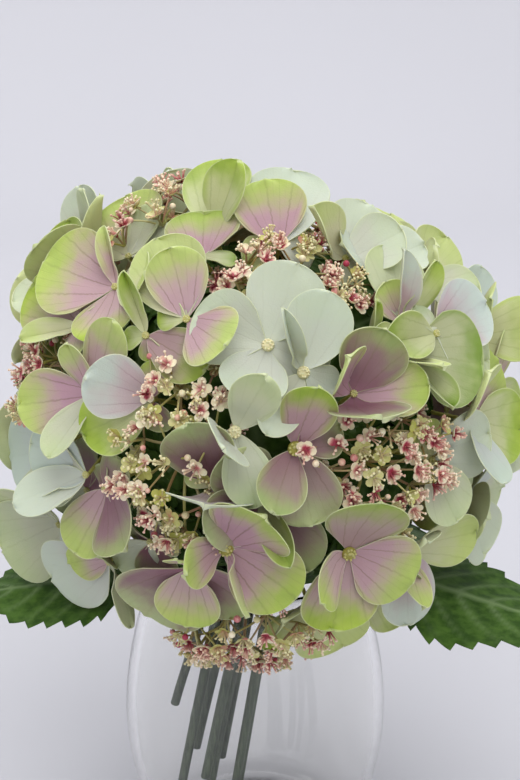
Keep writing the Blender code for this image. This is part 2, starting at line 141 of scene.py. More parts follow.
@dataclass(frozen=True)
class PrintedPetalCloth:
    """Thin polyester cloth, heat-set over a form and dyed by transfer printing from the heart outwards.

    The eye gets a matte, slightly see-through petal whose mauve heart runs through fine veins into a lime
    edge, with a thin pale cut rim and a paler back. The pale rim is partly the cut edge's own colour and
    partly a painted edge highlight. The deep dye's darkening of the heart, of the plum near it and of the
    green is partly painted shade, for petals that sit in shade. Each vertex carries its place on its petal
    (along, side, distance from the rim, bearing) and the petal's own dye strengths, so one finish prints
    every petal.
    """

    cream: str = "cfd1ae"
    cool: str = "bdcac4"
    lime: str = "b0c648"
    leafy: str = "74912f"
    mauve: str = "c49dac"
    # dark brown that the deep dye gives the heart: partly dusky dye, partly painted shade
    dusk_and_painted_shade: str = "5a4834"
    plum: str = "7a3a5a"
    # pale rim line: partly the cut edge's own colour, partly a painted edge highlight
    rim: str = "d9dfb4"
    vein_green: str = "7d9440"
    back: str = "b7bb90"
    roughness: float = 0.70
    blotch_mm: float = 11  # where the dye bled unevenly
    fine_mm: float = 2.5  # how far a vein runs before it wanders
    thread_mm: float = 0.7  # real threads are 0.15 mm apart, too fine to show, so they are drawn coarser

    def build(self) -> Material:
        """Build the printed cloth.

        Returns:
            The material.
        """
        material, tree, shader = blank("heat_set_printed_polyester")
        where = add(tree, "TexCoord", output="Object")
        place = add(tree, "Attribute", output="Color", attribute_name="place")
        along, side, rim_distance = add(tree, "SeparateColor", (place,)).node.outputs
        dye = add(tree, "Attribute", output="Color", attribute_name="dye")
        blush, lime, cool = add(tree, "SeparateColor", (dye,)).node.outputs
        # the deep dye's strength: its darkening is partly painted shade, for petals that sit in shade
        deep = dye.node.outputs["Alpha"]
        cloud = add(tree, "TexNoise", blotches(where, self.blotch_mm, 2), "Fac")
        blotch = add(tree, "Math", (cloud, 0.5), operation="SUBTRACT")
        drift = add(tree, "Math", (blotch, 0.55), operation="MULTIPLY")
        reached = add(tree, "Math", (along, drift), operation="ADD")
        outward = self._outward(tree, reached, along, rim_distance, deep)
        pale = add(tree, "Mix", {0: cool, 6: linear(self.cream), 7: linear(self.cool)}, 2, **COLOURS)
        uneven = add(tree, "Math", (blotch, 0.9), operation="MULTIPLY")
        # the deep dye also darkens the green towards leafy: partly painted shade
        greening = add(tree, "Math", (deep, uneven), operation="ADD")
        green = add(tree, "Mix", {0: greening, 6: linear(self.lime), 7: linear(self.leafy)}, 2, **COLOURS)
        outer = add(tree, "Mix", {0: lime, 6: pale, 7: green}, 2, **COLOURS)
        faint_lime = add(tree, "Math", (lime, 0.40), operation="MULTIPLY")
        inner = add(tree, "Mix", {0: faint_lime, 6: pale, 7: green}, 2, **COLOURS)
        # the heart darkens to brown with the deep dye: partly dusky dye, partly painted shade
        dusky_and_painted_shade = add(tree, "Math", (deep, 0.75), operation="MULTIPLY")
        heart = add(tree, "Mix", {0: dusky_and_painted_shade, 6: linear(self.mauve), 7: linear(self.dusk_and_painted_shade)}, 2, **COLOURS)
        inner = add(tree, "Mix", {0: blush, 6: inner, 7: heart}, 2, **COLOURS)
        ground = add(tree, "Mix", {0: outward, 6: inner, 7: outer}, 2, **COLOURS)
        # darker plum near the heart, scaled by the deep dye: partly plum dye, partly painted shade
        dark = add(tree, "MapRange", (reached, 0.62, 0.05), **EASED)
        dark = add(tree, "Math", (dark, blush), operation="MULTIPLY")
        dark = add(tree, "Math", (dark, deep), operation="MULTIPLY")
        dark = add(tree, "Math", (dark, 0.62), operation="MULTIPLY")
        ground = add(tree, "Mix", {0: dark, 6: ground, 7: linear(self.plum)}, 2, **COLOURS)
        fine = add(tree, "TexNoise", blotches(where, self.fine_mm, 2), "Fac")
        veins = self._veins(tree, along, place.node.outputs["Alpha"], fine)
        near = add(tree, "MapRange", (along, 0.85, 0.12, 0.12, 1), **EASED)
        near = add(tree, "Math", (near, blush), operation="MULTIPLY")
        plum_veins = add(tree, "Math", (veins, near), operation="MULTIPLY")
        plum_veins = add(tree, "Math", (plum_veins, 0.58), operation="MULTIPLY")
        ground = add(tree, "Mix", {0: plum_veins, 6: ground, 7: linear(self.plum)}, 2, **COLOURS)
        green_veins = add(tree, "Math", (veins, lime), operation="MULTIPLY")
        green_veins = add(tree, "Math", (green_veins, 0.22), operation="MULTIPLY")
        ground = add(tree, "Mix", {0: green_veins, 6: ground, 7: linear(self.vein_green)}, 2, **COLOURS)
        behind = add(tree, "Math", (side, 0.45), operation="MULTIPLY")
        ground = add(tree, "Mix", {0: behind, 6: ground, 7: linear(self.back)}, 2, **COLOURS)
        # a thin pale band along the rim: partly the cut edge's own colour, partly a painted edge highlight
        edge = add(tree, "MapRange", (rim_distance, 0.13, 0.03), **EASED)
        edge = add(tree, "Math", (edge, 0.42), operation="MULTIPLY")
        ground = add(tree, "Mix", {0: edge, 6: ground, 7: linear(self.rim)}, 2, **COLOURS)
        pressed = add(tree, "Math", (veins, -0.8), operation="MULTIPLY")
        weave = add(tree, "TexNoise", blotches(where, self.thread_mm, 0), "Fac")
        relief = add(tree, "Math", (pressed, weave), operation="ADD")
        bump = add(tree, "Bump", {"Strength": 0.28, "Distance": 0.22 * MM, "Height": relief}, "Normal")
        feed(shader, {"Base Color": ground, "Roughness": self.roughness, "Normal": bump})
        feed(shader, {"Subsurface Weight": 0.30, "Subsurface Radius": (1.0, 0.9, 0.6)})
        feed(shader, {"Subsurface Scale": 1.6 * MM, "Sheen Weight": 0.04})
        return material

    def _outward(
        self, tree: Tree, reached: Socket, along: Socket, rim_distance: Socket, deep: Socket
    ) -> Socket:
        """Find how far the petal's outer dye has taken over from that of its heart.

        Args:
            tree: The material's node tree.
            reached: How far out the point is, with the dye's bleeding.
            along: How far out it is, 0 to 1.
            rim_distance: Its distance from the rim.
            deep: The strength of the deep dye, which spreads the heart; its darkening is partly painted
                shade.

        Returns:
            The outer dye's share.
        """
        spread = add(tree, "Math", (deep, 0.20), operation="MULTIPLY")
        spread = add(tree, "Math", (reached, spread), operation="SUBTRACT")
        outward = add(tree, "MapRange", (spread, 0.32, 0.88), **EASED)
        border = add(tree, "MapRange", (rim_distance, 1.0, 0.15), **EASED)
        clear = add(tree, "MapRange", (along, 0.15, 0.45, 0, 0.65), **EASED)
        border = add(tree, "Math", (border, clear), operation="MULTIPLY")
        return add(tree, "Math", (outward, border), operation="MAXIMUM")

    def _veins(self, tree: Tree, along: Socket, fan: Socket, fine: Socket) -> Socket:
        """Draw nearly straight veins that fan out from the heart and fork further out.

        Args:
            tree: The material's node tree.
            along: How far out the point is, 0 to 1.
            fan: Its bearing from the heart, about -1 to 1.
            fine: A fine noise that makes the lines wander.

        Returns:
            The veins' strength.
        """
        wander = add(tree, "Math", (fine, 0.5), operation="SUBTRACT")
        wander = add(tree, "Math", (wander, 0.55), operation="MULTIPLY")
        lines = []
        for turns, start, end in ((9.0, -1.0, -0.5), (18.0, 0.18, 0.5), (36.0, 0.5, 0.8)):
            phase = add(tree, "Math", (fan, turns), operation="MULTIPLY")
            phase = add(tree, "Math", (phase, wander), operation="ADD")
            wave = add(tree, "Math", (phase,), operation="SINE")
            wave = add(tree, "Math", (wave,), operation="ABSOLUTE")
            line = add(tree, "MapRange", (wave, 0.0, 0.24, 1, 0), **EASED)
            begun = add(tree, "MapRange", (along, start, end), **EASED)
            lines.append(add(tree, "Math", (line, begun), operation="MULTIPLY"))
        forks = add(tree, "Math", lines[1:], operation="MAXIMUM")
        forks = add(tree, "Math", (forks, 0.55), operation="MULTIPLY")
        return add(tree, "Math", (lines[0], forks), operation="MAXIMUM")


@dataclass(frozen=True)
class MouldedFlowerPlastic:
    """Soft polyethylene, injection moulded in sprigs and tipped with paint by hand.

    It gives the eye satin cream petals and rods that run to rose or olive, and brown towards the rods' feet
    and inside the cushion: partly the plastic's own brown, partly painted shade. Each vertex carries its
    rose, olive and that browning.
    """

    cream: str = "fbf0d2"
    rose: str = "d98f8c"
    crimson: str = "a8304a"
    olive: str = "b9bb4c"
    bark_brown_and_painted_shade: str = "5e3c20"
    roughness: float = 0.45
    patch_mm: float = 1.6  # the paint's own unevenness on one tiny petal
    grain_mm: float = 0.6  # the mould's matte grain, drawn coarser than its real 0.1 mm so that it shows

    def build(self) -> Material:
        """Build the moulded flower plastic.

        Returns:
            The material.
        """
        material, tree, shader = blank("moulded_polyethylene_hand_tinted")
        where = add(tree, "TexCoord", output="Object")
        tint = add(tree, "Attribute", output="Color", attribute_name="tint")
        rose, olive, browning_and_painted_shade = add(tree, "SeparateColor", (tint,)).node.outputs
        patch = add(tree, "TexNoise", blotches(where, self.patch_mm, 2), "Fac")
        patch = add(tree, "Math", (patch, 0.5), operation="SUBTRACT")
        olive_patch = add(tree, "Math", (patch, 0.3), operation="MULTIPLY")
        greened = add(tree, "Math", (olive, olive_patch), operation="ADD")
        colour = add(tree, "Mix", {0: greened, 6: linear(self.cream), 7: linear(self.olive)}, 2, **COLOURS)
        rose_patch = add(tree, "Math", (patch, 0.4), operation="MULTIPLY")
        rosy = add(tree, "Math", (rose, rose_patch), operation="ADD")
        pink = add(tree, "MapRange", (rosy, 0.18, 0.72), **EASED)
        colour = add(tree, "Mix", {0: pink, 6: colour, 7: linear(self.rose)}, 2, **COLOURS)
        red = add(tree, "MapRange", (rosy, 0.52, 0.9), **EASED)
        colour = add(tree, "Mix", {0: red, 6: colour, 7: linear(self.crimson)}, 2, **COLOURS)
        # browns towards bark at the rods' feet and inside the cushion: partly the plastic's own brown,
        # partly painted shade
        colour = add(tree, "Mix", {0: browning_and_painted_shade, 6: colour, 7: linear(self.bark_brown_and_painted_shade)}, 2, **COLOURS)
        grain = add(tree, "TexNoise", blotches(where, self.grain_mm, 2), "Fac")
        bump = add(tree, "Bump", {"Strength": 0.3, "Distance": 0.1 * MM, "Height": grain}, "Normal")
        feed(shader, {"Base Color": colour, "Roughness": self.roughness, "Normal": bump})
        feed(shader, {"Subsurface Weight": 0.15, "Subsurface Radius": (1.0, 0.6, 0.4)})
        feed(shader, {"Subsurface Scale": 0.8 * MM})
        return material


@dataclass(frozen=True)
class DippedStemCoat:
    """Wire stem dipped in matte green polyethylene: a dull grey-green skin with drag marks along it."""

    green: str = "5c6b4f"
    dark: str = "3f4e38"
    roughness: float = 0.5
    streak_mm: float = 1.3
    draw: float = 0.12  # how much the streaks are stretched up the stem

    def build(self) -> Material:
        """Build the stem coat.

        Returns:
            The material.
        """
        material, tree, shader = blank("dipped_polyethylene_stem_coat")
        where = add(tree, "TexCoord", output="Object")
        drawn = add(tree, "Mapping", {"Vector": where, "Scale": (1, 1, self.draw)})
        streak = add(tree, "TexNoise", blotches(drawn, self.streak_mm, 3), "Fac")
        share = add(tree, "MapRange", (streak, 0.35, 0.7), **EASED)
        colour = add(tree, "Mix", {0: share, 6: linear(self.dark), 7: linear(self.green)}, 2, **COLOURS)
        bump = add(tree, "Bump", {"Strength": 0.4, "Distance": 0.2 * MM, "Height": streak}, "Normal")
        feed(shader, {"Base Color": colour, "Roughness": self.roughness, "Normal": bump})
        return material


@dataclass(frozen=True)
class PrintedLeafCloth:
    """Stiffened cloth leaf, pressed in a veined die: dark matte green, paler on its veins and beneath."""

    green: str = "4b6a2a"
    dark: str = "2e4a18"
    vein: str = "7b9163"
    beneath: str = "6f8a55"
    roughness: float = 0.6
    blotch_mm: float = 7
    weave_mm: float = 0.8  # real threads are 0.2 mm apart, too fine to show, so they are drawn coarser

    def build(self) -> Material:
        """Build the leaf cloth.

        Returns:
            The material.
        """
        material, tree, shader = blank("die_pressed_leaf_cloth")
        where = add(tree, "TexCoord", output="Object")
        place = add(tree, "Attribute", output="Color", attribute_name="place")
        _, vein, under = add(tree, "SeparateColor", (place,)).node.outputs
        blotch = add(tree, "TexNoise", blotches(where, self.blotch_mm, 3), "Fac")
        share = add(tree, "MapRange", (blotch, 0.3, 0.7), **EASED)
        colour = add(tree, "Mix", {0: share, 6: linear(self.dark), 7: linear(self.green)}, 2, **COLOURS)
        vein = add(tree, "Math", (vein, 0.75), operation="MULTIPLY")
        colour = add(tree, "Mix", {0: vein, 6: colour, 7: linear(self.vein)}, 2, **COLOURS)
        under = add(tree, "Math", (under, 0.35), operation="MULTIPLY")
        colour = add(tree, "Mix", {0: under, 6: colour, 7: linear(self.beneath)}, 2, **COLOURS)
        weave = add(tree, "TexNoise", blotches(where, self.weave_mm, 2), "Fac")
        bump = add(tree, "Bump", {"Strength": 0.4, "Distance": 0.25 * MM, "Height": weave}, "Normal")
        feed(shader, {"Base Color": colour, "Roughness": self.roughness, "Normal": bump})
        feed(shader, {"Specular IOR Level": 0.10})
        return material


@dataclass(frozen=True)
class BlownClearGlass:
    """Blown soda-lime glass, fire polished: clear, all but colourless, with a slow ripple in the wall."""

    tint: str = "fcfcfb"
    ior: float = 1.48
    ripple_mm: float = 35

    def build(self) -> Material:
        """Build the glass.

        Returns:
            The material.
        """
        material, tree, shader = blank("blown_soda_lime_glass")
        where = add(tree, "TexCoord", output="Object")
        ripple = add(tree, "TexNoise", blotches(where, self.ripple_mm, 0), "Fac")
        bump = add(tree, "Bump", {"Strength": 0.15, "Distance": 0.3 * MM, "Height": ripple}, "Normal")
        feed(shader, {"Base Color": linear(self.tint), "Roughness": 0.0, "IOR": self.ior, "Normal": bump})
        feed(shader, {"Transmission Weight": 1.0})
        return material


@dataclass(frozen=True)
class PaperSweep:
    """Wide roll of matte backdrop paper: an even, pale lavender grey with no edge in sight."""

    tone: str = "c3c3c9"
    shade: str = "c1c1c7"
    roughness: float = 0.9
    cloud_mm: float = 600

    def build(self) -> Material:
        """Build the paper.

        Returns:
            The material.
        """
        material, tree, shader = blank("matte_backdrop_paper")
        where = add(tree, "TexCoord", output="Object")
        cloud = add(tree, "TexNoise", blotches(where, self.cloud_mm, 1), "Fac")
        cloud = add(tree, "MapRange", (cloud, 0.2, 0.8), **EASED)
        colour = add(tree, "Mix", {0: cloud, 6: linear(self.shade), 7: linear(self.tone)}, 2, **COLOURS)
        feed(shader, {"Base Color": colour, "Roughness": self.roughness})
        return material


# ---------------------------------------------------------------- mesh helpers


@dataclass
class Soup:
    """Points, faces and point colours that are gathered before they become one mesh."""

    points: list[np.ndarray] = field(default_factory=list)
    faces: Faces = field(default_factory=list)
    colours: dict[str, list[np.ndarray]] = field(default_factory=dict)
    count: int = 0

    def put(self, points: np.ndarray, faces: Faces, **colours: np.ndarray) -> None:
        """Add one closed form.

        Args:
            points: Its points, one a row.
            faces: Its faces, as point numbers.
            colours: Four values for each point, by attribute name.
        """
        self.points.append(points)
        self.faces += [tuple(self.count + i for i in face) for face in faces]
        for name, values in colours.items():
            self.colours.setdefault(name, []).append(np.broadcast_to(values, (len(points), 4)))
        self.count += len(points)

    def to_object(self, name: str, material: Material, sharp: float = 50) -> Object:
        """Turn the gathered forms into one object.

        Args:
            name: The object's name.
            material: Its material.
            sharp: The angle, in degrees, over which an edge stays crisp.

        Returns:
            The new object.
        """
        mesh = bpy.data.meshes.new(name)
        mesh.from_pydata(np.concatenate(self.points).tolist(), [], self.faces)
        for key, values in self.colours.items():
            layer = mesh.color_attributes.new(key, "FLOAT_COLOR", "POINT")
            layer.data.foreach_set("color", np.concatenate(values).astype(np.float32).ravel())
        mesh.shade_smooth()
        mesh.set_sharp_from_angle(angle=math.radians(sharp))
        mesh.materials.append(material)
        made = bpy.data.objects.new(name, mesh)
        bpy.context.scene.collection.objects.link(made)
        return made


def moved(points: np.ndarray, place: Matrix) -> np.ndarray:
    """Carry points through a placement matrix."""
    m = np.array(place)
    return points @ m[:3, :3].T + m[:3, 3]


def sheet_normals(grid: np.ndarray) -> np.ndarray:
    """Find the unit normals of a sheet given as rows and columns of points."""
    cross = np.cross(np.gradient(grid, axis=0), np.gradient(grid, axis=1))
    return cross / np.maximum(np.linalg.norm(cross, axis=2, keepdims=True), 1e-12)


def both_sides(grid: np.ndarray, thickness: float) -> np.ndarray:
    """Give a sheet of points its thickness in metres: the upper side's points, then the lower side's."""
    offset = sheet_normals(grid) * thickness / 2
    return np.concatenate([(grid + offset).reshape(-1, 3), (grid - offset).reshape(-1, 3)])


def sheet_faces(rows: int, columns: int) -> Faces:
    """List the faces of a closed sheet: its upper side, its lower side and the rim between them.

    Args:
        rows: Rows of points on each side.
        columns: Columns of points on each side.

    Returns:
        The faces, with the lower side's points numbered after the upper's.
    """
    size = rows * columns
    faces = []
    for i in range(rows - 1):
        for j in range(columns - 1):
            a = i * columns + j
            quad = (a, a + columns, a + columns + 1, a + 1)
            faces.append(quad)
            faces.append(tuple(size + k for k in reversed(quad)))
    loop = list(range(columns))
    loop += [i * columns + columns - 1 for i in range(1, rows)]
    loop += [(rows - 1) * columns + j for j in range(columns - 2, -1, -1)]
    loop += [i * columns for i in range(rows - 2, 0, -1)]
    for a, b in zip(loop, loop[1:] + loop[:1]):
        faces.append((a, b, size + b, size + a))
    return faces


def tube(route: np.ndarray, radii: np.ndarray, sides: int) -> tuple[np.ndarray, Faces]:
    """Sweep a round section along a route and cap both ends.

    Args:
        route: The centre line's points.
        radii: The radius at each.
        sides: How many sides the section has.

    Returns:
        The points and the faces.
    """
    along = np.gradient(route, axis=0)
    along /= np.maximum(np.linalg.norm(along, axis=1, keepdims=True), 1e-12)
    side = np.cross(along[0], (0.31, 0.17, 0.93))
    rings = []
    for point, way, radius in zip(route, along, radii):
        side = side - way * side.dot(way)
        side /= np.linalg.norm(side)
        other = np.cross(way, side)
        turns = np.arange(sides) * 2 * math.pi / sides
        rings.append(point + radius * (np.outer(np.cos(turns), side) + np.outer(np.sin(turns), other)))
    faces = [tuple(reversed(range(sides)))]
    for i in range(len(route) - 1):
        for j in range(sides):
            a, b = i * sides + j, i * sides + (j + 1) % sides
            faces.append((a, b, b + sides, a + sides))
    last = (len(route) - 1) * sides
    faces.append(tuple(range(last, last + sides)))
    return np.concatenate(rings), faces


def turned(profile: list[tuple[float, float]], sides: int) -> tuple[np.ndarray, Faces]:
    """Turn a profile of radii and heights round the Z axis; its first and last points lie on the axis.

    Args:
        profile: Radius and height pairs, running from the top down the outer side.
        sides: How many sides the form has.

    Returns:
        The points and the faces.
    """
    points = [(0.0, 0.0, profile[0][1])]
    for radius, height in profile[1:-1]:
        for j in range(sides):
            turn = 2 * math.pi * j / sides
            points.append((radius * math.cos(turn), radius * math.sin(turn), height))
    points.append((0.0, 0.0, profile[-1][1]))
    faces = [(0, 1 + j, 1 + (j + 1) % sides) for j in range(sides)]
    for i in range(len(profile) - 3):
        for j in range(sides):
            a, b = 1 + i * sides + j, 1 + i * sides + (j + 1) % sides
            faces.append((a, a + sides, b + sides, b))
    first, end = 1 + (len(profile) - 3) * sides, len(points) - 1
    faces += [(first + j, end, first + (j + 1) % sides) for j in range(sides)]
    return np.array(points), faces


def direction(azimuth: float, height: float) -> Vector:
    """Find the unit vector from the dome's middle to a place on it."""
    a, h = math.radians(azimuth), math.radians(height)
    return Vector((math.sin(a) * math.cos(h), -math.cos(a) * math.cos(h), math.sin(h)))


def turned_to(axis: Vector, at: Vector, roll: float = 0.0) -> Matrix:
    """Place a form so that its +Z lies along an axis and its +Y leans upwards.

    Args:
        axis: Where +Z points.
        at: Where the origin goes.
        roll: Degrees of turn about the axis.

    Returns:
        The placement.
    """
    z = axis.normalized()
    x = Vector((0, 0, 1)).cross(z)
    x = x.normalized() if x.length > 1e-4 else Vector((1, 0, 0))
    frame = Matrix((x, z.cross(x), z)).transposed().to_4x4()
    return Matrix.Translation(at) @ frame @ Matrix.Rotation(math.radians(roll), 4, "Z")


def smooth_route(points: list[Vector], count: int) -> list[Vector]:
    """Read points along a Catmull-Rom curve.

    Args:
        points: The places that the curve passes through.
        count: How many points to read, evenly spaced in parameter.

    Returns:
        The points.
    """
    padded = [2 * points[0] - points[1], *points, 2 * points[-1] - points[-2]]
    spans = len(points) - 1
    route = []
    for i in range(count):
        at = min(i * spans / (count - 1), spans - 1e-9)
        k, t = int(at), at - int(at)
        a, b, c, d = padded[k : k + 4]
        squared = (2 * a - 5 * b + 4 * c - d) * t**2
        cubed = (3 * b - a - 3 * c + d) * t**3
        route.append(0.5 * ((2 * b) + (c - a) * t + squared + cubed))
    return route


# ---------------------------------------------------------------- petals and florets


class Dye(Enum):
    """How strongly a petal takes the blush, lime, cool and deep dyes. The deep dye's darkening is partly
    painted shade, for petals that sit in shade; it is strongest in DUSTY_MAUVE and DEEP_LEAF.
    """

    LILAC_LIME = (0.85, 0.80, 0.0, 0.20)
    HEART_LILAC = (0.90, 0.84, 0.0, 0.26)
    DUSTY_MAUVE = (1.0, 0.60, 0.0, 0.85)
    ROSE_LEAF = (0.90, 1.0, 0.0, 0.50)
    MINT_WHITE = (0.12, 0.08, 0.65, 0.0)
    WHITE_LILAC = (0.60, 0.0, 0.85, 0.1)
    SAGE = (0.15, 0.35, 0.45, 0.35)
    BRIGHT_GREEN = (0.10, 1.0, 0.0, 0.40)
    DEEP_LEAF = (0.20, 1.0, 0.0, 0.95)
    BLUE_MINT = (0.12, 0.08, 1.0, 0.0)
    LIME_CREAM = (0.20, 0.55, 0.05, 0.0)


class Eye(Enum):
    """The button in a floret's heart: a green one, a pale dotted one, or a small one."""

    GREEN = (3.4, 0.0, 1.0, 0.45)
    PALE = (2.9, 0.05, 0.35, 0.0)
    SMALL = (1.8, 0.1, 0.8, 0.2)


class P(NamedTuple):
    """One petal of a floret.

    Its bearing runs anticlockwise from the right, seen from outside, and its rise is out of the floret's
    plane. Size is a share of the usual length and wide of the usual width. Curl bends its tip outwards, fold
    closes it along its midrib and twist turns it on edge. Angles are in degrees.
    """

    bearing: float
    rise: float
    dye: Dye
    size: float = 1.0
    wide: float = 1.0
    curl: float = 8
    fold: float = 0
    twist: float = 0


class Floret(NamedTuple):
    """One big floret: its head, where its heart is, where it faces, its petals and its eye.

    Azimuths and heights are in degrees, and the heart's reach from the dome's middle is in mm.
    """

    head: str
    azimuth: float
    height: float
    reach: float
    face_azimuth: float
    face_height: float
    petals: tuple[P, ...]
    eye: Eye = Eye.SMALL


# Short names for the dyes, so that a floret's petals stay readable together.
L, D, R, M, W = Dye.LILAC_LIME, Dye.DUSTY_MAUVE, Dye.ROSE_LEAF, Dye.MINT_WHITE, Dye.WHITE_LILAC
S, G, B, C = Dye.SAGE, Dye.BRIGHT_GREEN, Dye.BLUE_MINT, Dye.LIME_CREAM
H, N = Dye.HEART_LILAC, Dye.DEEP_LEAF

